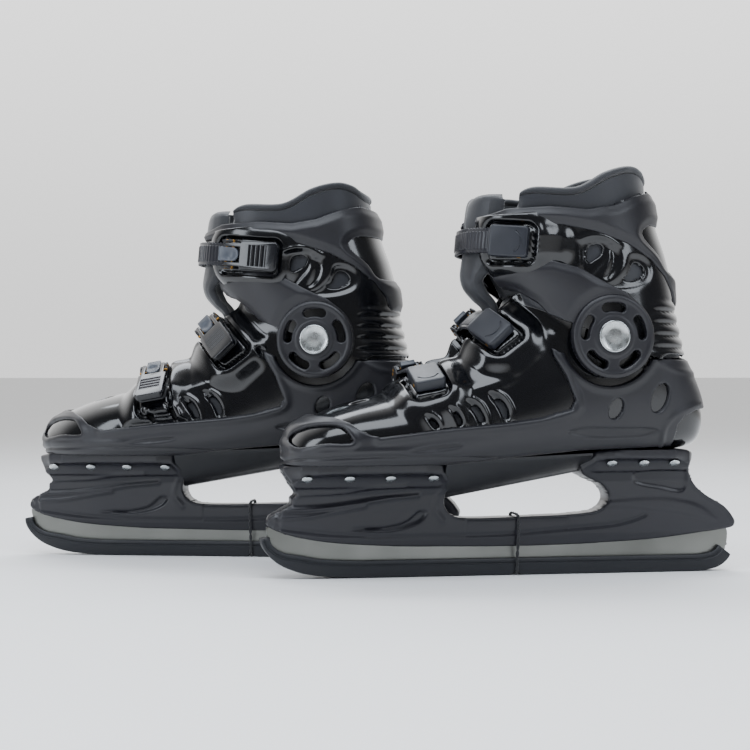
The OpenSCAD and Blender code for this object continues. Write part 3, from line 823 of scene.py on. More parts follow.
FINISHES = {
    # Injection-moulded nylon off a polished tool: deep black, mirror-like, with a faint orange peel
    "shell": Finish("Polished moulded nylon", "#06070a", "#0a0b0f", 0.15, 0.03, 5.0, 0.01, 45.0, coat=0.3,
        coat_roughness=0.11),
    # The same nylon off a spark-eroded tool: charcoal, satin, with a fine even grain
    "trim": Finish("Textured moulded nylon", "#121217", "#19191f", 0.4, 0.05, 0.7, 0.03, 35.0),
    # Glass-filled nylon of the blade holder: a shade bluer, softly glossy, with faint flow marks
    "holder": Finish("Glass-filled nylon", "#101017", "#17171f", 0.34, 0.05, 0.9, 0.025, 50.0,
        stretch=(0.4, 1.0, 1.0)),
    # Stainless steel ground lengthways: pale warm grey with long fine scratches
    "blade": Finish("Ground stainless steel", "#8d8e8a", "#73746f", 0.34, 0.08, 0.5, 0.02, 60.0, metallic=1.0,
        stretch=(0.03, 1.0, 1.0)),
    # Zinc-plated rivet heads: bright, a little dull in patches
    "rivet": Finish("Zinc-plated steel", "#cfd3d4", "#aab0b2", 0.26, 0.08, 1.5, 0.02, 4.0, metallic=1.0),
    # Pins turned from brass: warm and worn
    "brass": Finish("Turned brass", "#b98a45", "#8f6a38", 0.34, 0.08, 0.6, 0.02, 2.0, metallic=1.0),
    # Moulded rubber of the guard: dark, dull, slightly chalky
    "rubber": Finish("Moulded rubber", "#0c0e14", "#13161d", 0.52, 0.06, 1.2, 0.05, 25.0),
    # Braided elastic: dull black cord
    "elastic": Finish("Braided elastic", "#101114", "#1b1c20", 0.8, 0.05, 0.6, 0.08, 8.0, sheen=0.3),
    # Ladder straps of soft polyurethane: charcoal with a wet-looking sheen on the ridges
    "strap": Finish("Moulded polyurethane", "#15161c", "#1c1d25", 0.32, 0.05, 1.0, 0.02, 20.0),
    # Satin acetal of the strap ends' caps: blue-grey
    "cap": Finish("Satin acetal", "#161920", "#1c1f28", 0.38, 0.05, 0.9, 0.02, 15.0),
    # Levers moulded in gloss nylon
    "lever": Finish("Gloss nylon", "#08090d", "#0e1016", 0.16, 0.04, 4.0, 0.012, 20.0, coat=0.2),
    # Release tabs in grey acetal
    "tab": Finish("Grey acetal", "#3c4149", "#474c55", 0.38, 0.05, 0.9, 0.02, 10.0),
    # Buckle feet in dark textured nylon
    "foot": Finish("Dark textured nylon", "#101115", "#16171c", 0.45, 0.05, 0.7, 0.02, 15.0),
    # Smooth coated cloth on the liner: dark slate with a soft sheen
    "liner": Finish("Coated polyester cloth", "#13151b", "#1a1d25", 0.44, 0.06, 1.1, 0.05, 40.0, sheen=0.25),
    # Brushed lining inside the liner
    "lining": Weave("Brushed knit lining", "#0f1014", "#16181d", 0.85, 0.04, 0.5, 0.18, 30.0, sheen=0.5, thread=1.4),
    # Knitted binding sewn over the padded rim
    "binding": Weave("Knitted binding", "#101218", "#171a21", 0.7, 0.05, 0.5, 0.16, 20.0, sheen=0.4, thread=1.0),
    # Felted cloth on the footbed
    "footbed": Weave("Felted footbed cloth", "#33353c", "#43454d", 0.9, 0.04, 0.6, 0.2, 18.0, sheen=0.4, thread=1.6),
}


# --------------------------------------------------------------------------- pieces
@dataclass
class Piece:
    """A finished right-hand piece: what it rides on, which CAD nodes it stands for, and what it is dressed in."""

    obj: bpy.types.Object
    body: str
    finish: str
    slot: str
    nodes: tuple[str, ...] = ()
    onto: str = ""
    span: tuple[tuple[float, float, float], tuple[float, float, float]] | None = None
    fill: float = -1.0


# Where the left skate stands: its shift in metres and its turn about the vertical in degrees.
LEFT_SHIFT, LEFT_TURN = (-0.165, 0.15, 0), -16


class Dresser:
    """Dresses pieces, mirrors them for the left skate and ties both to the frame, all but those with a span."""

    def __init__(self) -> None:
        """Makes every material once."""
        self.made = {key: finish.make() for key, finish in FINISHES.items()}
        turn = Matrix.Rotation(math.radians(LEFT_TURN), 4, "Z")
        self.left = Matrix.Translation(LEFT_SHIFT) @ turn @ Matrix.Scale(-1, 4, (0, 1, 0))

    def dress(self, piece: Piece) -> None:
        """Puts a piece's material on it, unless its faces already have theirs."""
        if not piece.obj.data.materials:
            piece.obj.data.materials.append(self.made[piece.finish])

    def tie(self, piece: Piece, obj: bpy.types.Object, side: Side) -> None:
        """Ties an object to its body in the frame; a piece with a span only has its placement baked into its mesh.

        Args:
            piece: What the object is.
            obj: The right piece or its mirrored copy.
            side: Which skate it belongs to.
        """
        turn = self.left if side is Side.LEFT else Matrix.Identity(4)
        obj.name = obj.data.name = f"{side.value}.{piece.obj.name.removeprefix('right.')}"
        if piece.span is None:
            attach(obj, f"{side.value}_{piece.body}")
        else:
            start, end = (turn @ (Vector(p) * MM) for p in piece.span)
            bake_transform(obj)
            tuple(start)
            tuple(end)
        if piece.nodes:
            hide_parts(*[f"{side.value}_{n}" for n in piece.nodes])

    def finish(self, piece: Piece) -> None:
        """Dresses a piece, copies it to the other skate and ties both, or only bakes both in place when it has a
        span.
        """
        self.dress(piece)
        copy = bpy.data.objects.new(piece.obj.name + ".copy", piece.obj.data.copy())
        bpy.context.scene.collection.objects.link(copy)
        copy.data.transform(self.left)
        copy.data.flip_normals()
        self.tie(piece, piece.obj, Side.RIGHT)
        self.tie(piece, copy, Side.LEFT)
        LOG.info("%s: %d faces, both skates", piece.obj.name, len(piece.obj.data.polygons))

    def paint(self, obj: bpy.types.Object, *keys: str) -> bpy.types.Object:
        """Gives an object several materials, in order."""
        for key in keys:
            obj.data.materials.append(self.made[key])
        return obj


HOLDER_EDGE = [
    (-164, 38), (-162, 42.5), (-158.6, 44.5), (-150, 48.6), (-147.5, 50), (-147, 54), (-144, 57), (-146, 60),
    (-152, 69), (-154, 72), (-154, 76), (-38, 76), (-37.2, 70), (-38.5, 63), (-42.5, 57), (-43.5, 50),
    (-41, 44.5), (-36, 41), (-30, 39.8), (8, 40), (58, 42.2), (67, 44.5), (72, 49.5), (72, 55.5), (67, 61.5),
    (59, 65), (52, 69), (49.5, 75), (51, 81), (55, 84.3), (131, 84.3), (131.5, 79), (128, 74), (131, 66),
    (135, 60), (143, 53.5), (156, 46), (162.5, 39), (165, 34), (163.5, 31), (150, 28.5), (108, 23.1),
    (60, 20.5), (8.6, 19.5), (-40, 20), (-88, 21.2), (-130, 25.1), (-155, 31.5), (-163, 35.5),
]
BLADE_EDGE = [
    (-163.3, 34.5), (-162.5, 27), (-159, 20), (-151, 13.2), (-138, 8.4), (-118, 5.6), (-90, 5), (140, 5),
    (152, 7.4), (159.5, 14), (162, 22), (161, 30.2), (150, 31), (20, 30), (-120, 31), (-150, 34),
]
GUARD_LINE = [(-163, 28.2), (-162, 24), (-159, 19.6), (-155.2, 16), (-151, 13.2), (-145, 10.6), (-138, 8.4),
    (-128, 6.6), (-118, 5.7), (-104, 5.1), (-90, 5),
              (-40, 5), (30, 5), (100, 5), (138, 5.1), (146, 5.9), (152, 7.4), (156.5, 10.4), (159.5, 14)]


@dataclass(frozen=True)
class Chassis:
    """The runner, its holder with the rivets, and the guard tied under it."""

    runner: float = 4.0
    guard: float = 13.0
    front_rivets: tuple[float, ...] = (-139, -110.6, -83, -54)
    rear_rivets: tuple[float, ...] = (70.6, 93.5, 115.2)
    tie_x: float = 8.0

    def holder_half(self, p: Array) -> Array:
        """Gives the holder's half width, which spreads into a flange on each post."""
        x, z = p[:, 0], p[:, 2]
        rail = np.interp(z, [15, 21, 27, 36, 60], [6.2, 7, 8.6, 9.2, 9])
        front = np.interp(z, [15, 21, 28, 45, 56, 60, 64.5, 70.6, 71.4, 76],
            [6.2, 7, 9, 10.5, 12.2, 14.2, 18.5, 27.4, 30.6, 31])
        rear = np.interp(z, [15, 21, 28, 50, 64, 70, 74.5, 79.4, 80.2, 84.3],
            [6.2, 7, 9, 10.5, 12.3, 15.5, 19.5, 25.6, 27.6, 28])
        plan = np.interp(x, [-170, -162, -156, -150, -143, -132, -112, -60, -48, -40, -30, 40, 50, 60, 72, 115, 127,
            133, 170],
                         [7, 7.5, 8, 15, 24, 29, 31, 31, 27, 18, 12, 12, 16, 24, 28, 27, 21, 12, 12])
        wide = np.maximum(rail, np.maximum(np.where(x < -28, front, 0), np.where(x > 44, rear, 0)))
        cap = np.minimum(wide, plan)
        nose = np.interp(x, [-168, -160, -150], [5.2, 6.6, 40])
        return np.minimum(cap, nose)

    def holder(self) -> bpy.types.Object:
        """Models the holder with its ridges, grooves and recesses."""
        ridges = both_of(
            lined(curve_field([(-147, 56.5), (-135.5, 57.7), (-118, 58.5), (-103, 60.4), (-88, 62.5), (-72, 63.5)]),
                1.2, 1.5),
            lined(curve_field([(-153, 47.0), (-138, 47.2), (-123, 48.2), (-102, 51), (-81, 54.3), (-62, 56)]), 1.9,
                1.6),
            lined(curve_field([(-160, 41.2), (-148, 41.7), (-135, 42.6), (-113, 46.4), (-98, 49)]), 1.5, 1.5),
            lined(curve_field([(-155, 34.5), (-139, 32.3), (-125, 30.5), (-111, 29.3), (-75, 27.7), (-4, 28.1),
                (34, 30.9), (73, 33.6), (89, 36.7), (99, 40)]), -0.9, 1.0),
            lined(curve_field([(133, 63), (137, 58.5), (146, 51.5), (158, 43.5), (163, 36)]), 1.0, 1.8),
            lined(curve_field([(-47, 70), (-45, 62), (-49, 54), (-50, 46), (-44, 38)]), 0.8, 1.8),
            pressed(outline_field([(-108, 33.4), (-94, 31.5), (-81, 31.5), (-67, 34.3), (-58.5, 38.4), (-55, 44),
                (-60.5, 45.5), (-70, 38.5), (-84, 35), (-98, 34.6)]), 1.9, 2.0),
            pressed(outline_field([(89.6, 70.2), (127, 70.5), (128.4, 65.6), (126.5, 56.5), (109, 58.5), (91, 62.7),
                (88.2, 67)]), 1.3, 2.0),
            pressed(outline_field([(58, 55), (64, 49.5), (72, 51), (120, 52), (140, 46), (150, 38), (152, 35),
                (120, 41), (80, 45), (62, 46)]), -0.5, 3.0),
        )

        def grooves(p: Array) -> Array:
            """Sinks the band under each flange that the rivets sit in."""
            x, z = p[:, 0], p[:, 2]
            front = (np.exp(-(((z - 68.4) / 2.6) ** 2)) - 1.3 * np.exp(-(((z - 63.2) / 1.5) ** 2))) * ramp(x, -150,
                -144) * ramp(-x, 44, 50)
            rear = (np.exp(-(((z - 77.4) / 2.4) ** 2)) - 1.3 * np.exp(-(((z - 72.2) / 1.5) ** 2))) * ramp(x, 56,
                62) * ramp(-x, -127, -121)
            return -0.9 * (front + rear)

        wall = Flank("right.holder", 0.0, 0.0, outline_field(HOLDER_EDGE, 5), both_of(ridges, grooves), pitch=1.0,
                     lip=1.6, depth=1000.0, half=self.holder_half, z_range=(17, 86), angle=75)
        return wall.both()

    def blade(self) -> bpy.types.Object:
        """Models the runner with ground edges along its sole."""
        def half(p: Array) -> Array:
            """Thins the runner slightly to its ground edge."""
            return np.interp(p[:, 2], [4, 5.4, 7.5, 40],
                [self.runner / 2 - 0.35, self.runner / 2 - 0.1, self.runner / 2, self.runner / 2])

        return Flank("right.runner", 0.0, 0.0, outline_field(BLADE_EDGE, 4), None, pitch=1.6, lip=0.35, depth=1000.0,
                     half=half, z_range=(3, 38), angle=30).both()

    def guard_piece(self) -> bpy.types.Object:
        """Models the guard: a channel that curls up at the toe, with a groove along each side and one for the tie."""
        rough = spline([(x, 0, z) for x, z in GUARD_LINE], 1600)
        way = run_lengths(rough)
        count = int(way[-1] / 1.3)
        line = np.stack([np.interp(np.linspace(0, way[-1], count), way, rough[:, k]) for k in range(3)], 1)
        outer = self.guard / 2

        def ring(t: float, i: int) -> Array:
            """Draws the channel's section, lower at the nose and grooved under the tie."""
            end = min(t, 1 - t) * way[-1]
            w = outer - 1.1 * (1 - math.sqrt(max(1 - (1 - min(end / 5.0, 1)) ** 2, 0)))
            up = 1.2 + 5.3 * float(ramp(np.array([t * way[-1]]), 4, 34)[0])
            low = -5.0 + 2.6 * math.exp(-(((line[i, 0] - self.tie_x) / 1.5) ** 2))
            half = [(w - 1.4, low), (w - 0.4, low + 0.5), (w, low + 1.5), (w, up - 4.2), (w - 0.5, up - 3.7),
                (w - 0.5, up - 2.9),
                    (w, up - 2.4), (w - 0.1, up - 0.9), (w - 0.8, up), (2.9, up), (2.3, up - 0.5), (2.3, 0.05)]
            return np.array(half + [(-y, z) for y, z in half[::-1]])

        return smooth(sweep("right.guard", line, ring, np.tile([0.0, 0, 1], (count, 1))), 42)

    def tie(self) -> bpy.types.Object:
        """Models the tie as two twisted strands that pass under the guard and over the rail."""
        half = [(0, 1.0), (6.0, 1.0), (7.6, 2.4), (7.9, 5), (8.2, 12), (10.2, 20), (11.1, 27), (11.1, 35),
            (10.8, 39.5), (9.3, 41.4), (6, 41.8), (0, 41.8)]
        loop = half + [(-y, z) for y, z in half[-2:0:-1]]
        line = smooth_loop(loop, 12)
        parts = []
        for phase in (0.0, math.pi):
            way = run_lengths(np.vstack([line, line[:1]]))
            turn = way[:-1] / way[-1] * 2 * math.pi * 11 + phase
            centre = np.array([0.0, 22.0])
            out = line - centre
            out /= np.linalg.norm(out, axis=1)[:, None]
            path = np.stack([self.tie_x + 0.55 * np.cos(turn), line[:, 0] + out[:, 0] * 0.3 * np.sin(turn),
                line[:, 1] + out[:, 1] * 0.3 * np.sin(turn)], 1)
            path = np.vstack([path, path[:1]])
            ups = np.tile([1.0, 0, 0], (len(path), 1))
            angles = np.linspace(0, 2 * math.pi, 9)[:-1]
            section = np.stack([0.62 * np.cos(angles), 0.62 * np.sin(angles)], 1)
            parts.append(sweep("strand", path, lambda t, i: section, ups, capped=False))
        return join("right.tie", parts)

    def rivets(self) -> bpy.types.Object:
        """Models one domed rivet head in its dimple and copies it to every hole."""
        head = basic(bpy.ops.mesh.primitive_cylinder_add, vertices=28, radius=3.7 * MM, depth=0.7 * MM,
            location=(0, 0, 0.55 * MM))
        edit(head, lambda: bpy.ops.mesh.inset(thickness=0.75 * MM, depth=0.45 * MM),
            lambda: bpy.ops.mesh.inset(thickness=0.9 * MM, depth=0.3 * MM),
            lambda: bpy.ops.mesh.inset(thickness=1.0 * MM, depth=0.1 * MM), pick=lambda f: f.normal.z > 0.9)
        modify(head, "BEVEL", width=0.15 * MM, segments=2, limit_method="ANGLE", angle_limit=math.radians(35))
        parts = []
        for sign in (1, -1):
            for front, xs in ((True, self.front_rivets), (False, self.rear_rivets)):
                for x in xs:
                    y, z = (24.4, 68.2) if front else (22.9, 77.0)
                    part = bpy.data.objects.new("head", head.data.copy())
                    bpy.context.scene.collection.objects.link(part)
                    turn = Matrix.Rotation(math.radians(-145), 4, "X")
                    flip = Matrix.Scale(sign, 4, (0, 1, 0))
                    part.data.transform(flip @ Matrix.Translation((x * MM, y * MM, z * MM)) @ turn)
                    if sign < 0:
                        part.data.flip_normals()
                    parts.append(part)
        bpy.data.objects.remove(head, do_unlink=True)
        return smooth(join("right.rivet_heads", parts), 40)

    def keel(self) -> bpy.types.Object:
        """Models the spine under the sole that runs from one post to the other."""
        line = np.stack([np.linspace(-46, 56, 40), np.zeros(40), np.zeros(40)], 1)
        ups = np.tile([0.0, 0, 1], (40, 1))

        def ring(t: float, i: int) -> Array:
            """Draws the spine's section: a rounded keel that spreads smoothly into the sole."""
            low, high = 52.4 + 18.6 * t, 79.5 + 4.5 * t
            deck = 31 - 4 * t
            slope = [(7 + (deck - 7) * q, low + 1.6 + (high - low - 3.2) * q ** 1.25) for q in np.linspace(0, 1, 12)]
            half = [(0, low - 0.4), (3.6, low), (5.8, low + 0.6), *slope, (deck + 0.4, high)]
            return np.array([(y, z) for y, z in half] + [(-y, z) for y, z in half[:0:-1]])[::-1]

        return sweep("right.spine", line, ring, ups)

    def pieces(self) -> list[Piece]:
        """Makes the pieces."""
        return [
            Piece(self.holder(), "boot", "holder", "holder_plastic", ("blade_holder",)),
            Piece(self.blade(), "boot", "blade", "blade_steel", ("blade",)),
            Piece(self.guard_piece(), "guard", "rubber", "guard_rubber", ("blade_guard",)),
            Piece(self.tie(), "boot", "elastic", "tie_elastic", ("guard_tie",)),
            Piece(self.rivets(), "boot", "rivet", "rivet_steel", ("holder_rivets",)),
            Piece(self.keel(), "boot", "foot", "matte_trim"),
        ]


VENTS = [
    [(-64.9, 109.6), (-61.2, 109.6), (-57.9, 106.8), (-55.7, 103.1), (-56, 100.8), (-58.8, 101.8), (-62.1, 105.4)],
    [(-49, 114.6), (-45.2, 114.5), (-41.9, 111.3), (-39.5, 106.2), (-39.5, 102.6), (-41.9, 102.1), (-43.8, 105.8),
        (-46.6, 110.9)],
    [(-36.5, 120), (-32.2, 120.5), (-28, 116.8), (-24.6, 110.8), (-22.7, 104.8), (-24.6, 102.9), (-27.5, 103.4),
        (-29.9, 108.5), (-33.6, 114.5), (-36.5, 118.2)],
    [(-20.6, 125.1), (-16.3, 125), (-11.6, 121.3), (-7.3, 114.4), (-6.3, 107.9), (-7.3, 104.6), (-10.6, 105.1),
        (-12.5, 109.8), (-15.8, 116.3), (-20.1, 121.8)],
]
FOOT_TOP = [(-200, 40), (-200, 175), (-20, 175), (-8, 186), (4, 192), (22, 191), (36, 187),
    *arc(PIVOT, 24, 100, 40, 7),
            (92, 160), (104, 149), (125, 148), (170, 148), (170, 40)]
FRAME_EDGE = [(-170, 77), (-40, 77), (-15, 80), (15, 83), (45, 85.5), (112, 87.5), (113, 103), (118, 109), (128, 113),
    (170, 118),
              (170, 147.5), (118, 147.5), (104, 148), *arc(PIVOT, 33, 333, 200, 16), (22.9, 155), (24, 150),
                  (32.4, 136), (38.8, 120),
              (36, 114), (15.4, 108.3), (-7.8, 105.3), (-53.8, 101.5), (-95, 96.7), (-101, 98), (-108, 101.5),
                  (-114, 106.3), (-124, 110.2), (-136, 111), (-170, 111)]
TOE_WINDOW = [(-148.1, 90), (-152.1, 94), (-149.1, 99.9), (-140, 103.9), (-130, 105.3), (-119.9, 103.8),
    (-113.8, 96.7), (-112.8, 93.7), (-117.9, 92.8), (-130, 92.8), (-140, 90.9)]


def oval(x: float, z: float, short: float, tall: float, lean: float) -> Field:
    """Makes the outline of an upright oval that leans by some degrees."""
    t = math.radians(lean)
    points = []
    for k in range(20):
        u, v = short * math.cos(k * math.pi / 10), tall * math.sin(k * math.pi / 10)
        points.append((x + u * math.cos(t) + v * math.sin(t), z - u * math.sin(t) + v * math.cos(t)))
    return outline_field(points, 2)


def shifted(outline: Sequence[tuple[float, float]], dx: float, dz: float,
    scale: float = 1.0) -> list[tuple[float, float]]:
    """Moves an outline and scales it about its middle."""
    mx, mz = np.mean(outline, 0)
    return [(mx + (x - mx) * scale + dx, mz + (z - mz) * scale + dz) for x, z in outline]


@dataclass(frozen=True)
class Boot:
    """The glossy foot shell, the matte frame moulded over it, and the soft parts inside."""

    trim: float = 2.5
    gap: float = 0.3
    padding: float = 7.0

    def throat(self, p: Array) -> Array:
        """Gives a field that is positive in the opening over the instep."""
        x, y, z = p[:, 0], np.abs(p[:, 1]), p[:, 2]
        half = np.interp(x, [-72, -69, -64, -56, 40], [-6, 6, 12, 16.5, 16.5])
        return np.where(z > 118, np.minimum(half - y, 60.0), -8.0)

    def shell(self) -> bpy.types.Object:
        """Models the foot shell with its strap beds, side vents and toe vents."""
        openings = [outline_field(shifted(v, 1.4, -0.6, 0.62), 5) for v in VENTS]
        scoops = [pressed(outline_field(v, 5), 2.1, 3.0) for v in VENTS]
        lips = [lined(curve_field([(v[1][0] + 1.6, v[1][1] + 0.6), (v[2][0] + 2.2, v[2][1] + 0.8),
            (v[3][0] + 2.3, v[3][1]), (v[4][0] + 2.0, v[4][1] - 1)]), 1.0, 1.6) for v in VENTS]

        def toe_vents(p: Array) -> Array:
            """Sinks an oval on each side of the toe's top."""
            u, v = (p[:, 0] + 103) / 8.2, (np.abs(p[:, 1] + 2.5) - 14.5) / 4.6
            return np.where(p[:, 2] > 105, -1.6 * ramp(1 - np.hypot(u, v), 0, 0.35), 0)

        def instep_folds(p: Array) -> Array:
            """Raises the smooth shoulder that runs back from the toe bed to the ankle."""
            d = curve_field([(-46, 126), (-28, 128), (-8, 134), (10, 146), (24, 162)])(p)
            return 1.3 * np.exp(-((d / 5.0) ** 2))

        def upper_rim(p: Array) -> Array:
            """Thickens the rim of the throat."""
            return 1.1 * np.exp(-((self.throat(p) + 2.0) / 2.2) ** 2) * ramp(p[:, 2], 120, 124)

        raised = both_of(seat_relief(0, 5.2), seat_relief(1, 5.8), *scoops, *lips, toe_vents, instep_folds, upper_rim)
        cover = outline_field(FRAME_EDGE, 0)
        relief = lambda p: np.minimum(raised(p), 1.6 + 6.0 * ramp(-cover(p), 0, 7))
        border = overlap(outline_field(FOOT_TOP, 0), without(self.throat, *openings))
        return Panel("right.foot_shell", 0.0, 0.0, border, relief, pitch=1.15, lip=1.2, depth=3.0,
            s_range=(0.0, 16.9), angle=80).build()

    def frame(self) -> bpy.types.Object:
        """Models the matte frame with its toe window, grooves and cut-outs."""
        border = overlap(outline_field(FRAME_EDGE, 0),
            without(outline_field(TOE_WINDOW, 4), oval(67.4, 114.2, 5, 7.5, 20), oval(98.8, 121.4, 6.2, 10.5, 20)))
        triangle = curve_field([(22.9, 155), (24.5, 149), (32.4, 136), (38.6, 121), (36, 114), (15.4, 108.3),
            (-7.8, 105.3), (-53.8, 101.5), (-95, 96.7)])
        cup = curve_field(arc(PIVOT, 35.2, 200, 333, 24))
        ring = lambda p: np.abs(outline_field(TOE_WINDOW, 4)(p))

        def rims(p: Array) -> Array:
            """Thickens the frame along its upper edge, round the disc and round the toe window."""
            near = np.where(p[:, 0] > -110, 1.0, 0.0)
            edge = 1.3 * near * np.exp(-((triangle(p) - 2.2) / 2.6) ** 2)
            disc = np.exp(-(cup(p) / 2.4) ** 2)
            window = 0.8 * np.exp(-((ring(p) - 2.4) / 2.0) ** 2)
            return edge + disc + window * ramp(-p[:, 2], -108, -103)

        relief = both_of(
            rims,
            lined(curve_field([(-156, 78.6), (-146.8, 81.3), (-127.8, 82.6), (-92.5, 83.8), (-51.7, 83),
                (-13.7, 81.2)]), -1.0, 1.0),
            lined(curve_field([(-156, 82), (-146, 85), (-127, 86.6), (-92, 87.6), (-60, 86.8)]), 0.5, 1.8),
            pressed(outline_field([(-78, 87), (-66, 89.6), (-52, 91.2), (-39, 91.4), (-43, 89), (-57, 87),
                (-70, 86.2)]), 1.3, 1.4),
            pressed(outline_field([(33, 98.8), (43, 101.9), (67, 101.9), (94, 101.2), (99.3, 99.3), (94, 96.5),
                (85, 94.9), (45, 95)]), 1.5, 1.6),
            lined(curve_field([(104, 88), (103, 100), (108, 108), (118, 113.5), (132, 118)]), 0.9, 1.8),
            lined(curve_field([(96, 146), (108, 141), (120, 139), (140, 138)]), 0.7, 2.0),
        )
        return Panel("right.base_frame", self.gap, self.trim, border, relief, pitch=1.2, lip=1.1, depth=2.6,
            s_range=(0.0, 16.2), angle=80).build()

    def padding_shell(self) -> bpy.types.Object:
        """Models the liner's foot: a padded sock that swells between its seams, open at the ankle."""
        edge = [(-200, 0), (-200, 176), (-24, 176), (-10, 186), (4, 190), (22, 189), (34, 185),
            *arc(PIVOT, 22, 100, 40, 5), (90, 158), (103, 147), (170, 146), (170, 0)]
        seams = [curve_field([(-60, 120), (-30, 122), (0, 126), (30, 150)]),
            curve_field([(40, 90), (70, 120), (80, 150)])]

        def swell(p: Array) -> Array:
            """Pulls the cloth in along its seams."""
            return sum(-0.9 * np.exp(-((s(p) / 1.6) ** 2)) for s in seams) + 0.25 * np.sin(p[:, 0] / 7) * np.sin(p[:,
                2] / 6 + 1)

        outer = Panel("liner_out", -3.5, 0.0, outline_field(edge, 0), swell, pitch=2.6, lip=2.5, depth=3.5,
            s_range=(0.4, 16.9), angle=60).build()
        inner = Panel("liner_in", -3.5 - self.padding, 0.0, outline_field(edge, 0), None, pitch=3.2, lip=2.5,
            depth=-3.6, s_range=(2.4, 16.9), angle=60).build()
        edit(inner, lambda: bpy.ops.mesh.flip_normals())
        return join("right.liner_sock", [outer, inner])

    def footbed(self) -> bpy.types.Object:
        """Models the insole with a raised heel cup and arch, as the foot leaves it."""
        half = [(-130, 0), (-126, 10), (-117, 18), (-98, 26), (-75, 29), (-45, 27), (0, 23), (60, 20), (90, 19),
            (104, 15), (112, 8), (114, 0)]
        outline = smooth_loop(half + [(x, -y) for x, y in half[-2:0:-1]], 4)[::-1]
        base = slab("right.footbed", outline.tolist(), 0, 3, 0)
        edit(base, lambda: bpy.ops.mesh.dissolve_limited(angle_limit=0.01))
        edit(base, *[lambda: bpy.ops.mesh.inset(thickness=2.2 * MM)] * 5, pick=lambda f: abs(f.normal.z) > 0.9)
        lean = math.radians(-2.5)
        for v in base.data.vertices:
            x, y, z = v.co.x / MM, v.co.y / MM, v.co.z / MM
            rim = (max(abs(y) - 10, 0) / 16) ** 2
            arch = 1.4 * math.exp(-(((x - 10) / 30) ** 2)) * (y < 0)
            heel = 0.5 * math.exp(-(((x - 85) / 20) ** 2) - (y / 14) ** 2)
            z += 2.2 * rim * (1 if x > -60 else 0.4) + arch - heel
            v.co = Vector((x * math.cos(lean), y, 95 + z + x * math.sin(-lean))) * MM
        return smooth(base, 60)

    def pieces(self) -> list[Piece]:
        """Makes the pieces."""
        return [
            Piece(self.shell(), "boot", "shell", "shell_gloss", ("foot_shell",)),
            Piece(self.frame(), "boot", "trim", "matte_trim", ("base_frame",)),
            Piece(self.padding_shell(), "boot", "liner", "liner_fabric", ("liner_foot",), fill=0.7),
            Piece(self.footbed(), "boot", "footbed", "footbed", ("insole",), fill=0.4),
        ]


CUFF_EDGE = [(-40, 203), (-40, 243), (-12, 243.5), (20, 246), (46, 244.5), (64, 247.5), (82, 254.5), (95, 258.5),
    (140, 258.5),
             (140, 150.5), (104, 150.5), (95, 146), *arc(PIVOT, 27, 330, 200, 9), (31, 163), (25, 174), (14, 187),
                 (1, 195), (-13, 200)]
COLLAR_EDGE = [(-40, 236), (-14, 236.4), (4, 237.2), (29, 236.2), (50.5, 232.4), (74, 225), (91.5, 215.6),
    (106, 203.8), (113, 194),
               (116, 184), (150, 184), (150, 257), (106, 258.5), (93.8, 260.8), (80.6, 257.4), (63.4, 250.4),
                   (45.5, 247.3), (18.9, 249),
               (-8.4, 247.5), (-16.7, 244.7), (-40, 240)]
COLLAR_WINDOW = [(86, 232), (92, 237.6), (104, 238.5), (130, 237), (130, 212), (108, 208), (100, 218)]
ARM_EDGE = [(-26, 202.2), (-12.5, 206.3), (0, 210.6), (21, 213), (40, 208), (55, 200), (72.5, 191.8),
    *arc(PIVOT, 29, 50, -155, 26),
            (31.8, 162), (23.3, 173), (12.8, 185), (0, 193.2), (-14.6, 197.5)]
WINDOWS = [
    [(45.1, 223.1), (49.9, 224.6), (55.2, 224.7), (58.1, 221.7), (57.3, 217.6), (54.1, 214), (49.9, 211.4),
        (45.6, 208.8), (43, 209.8), (42.7, 214.9), (43.5, 220)],
    [(78.1, 213.1), (82.4, 213.6), (87.8, 210.6), (90.2, 206.5), (88.9, 202.4), (83.5, 199.2), (77.1, 197.1),
        (69.6, 197.6), (67.4, 199.1), (71.7, 202.2), (74.4, 207.4)],
]
LINER_TOP = [(-60, 238), (-20, 246), (-8, 250), (-2, 255), (8, 260), (38, 260), (60, 271), (77, 276), (88, 274.6),
    (100, 268), (140, 258)]


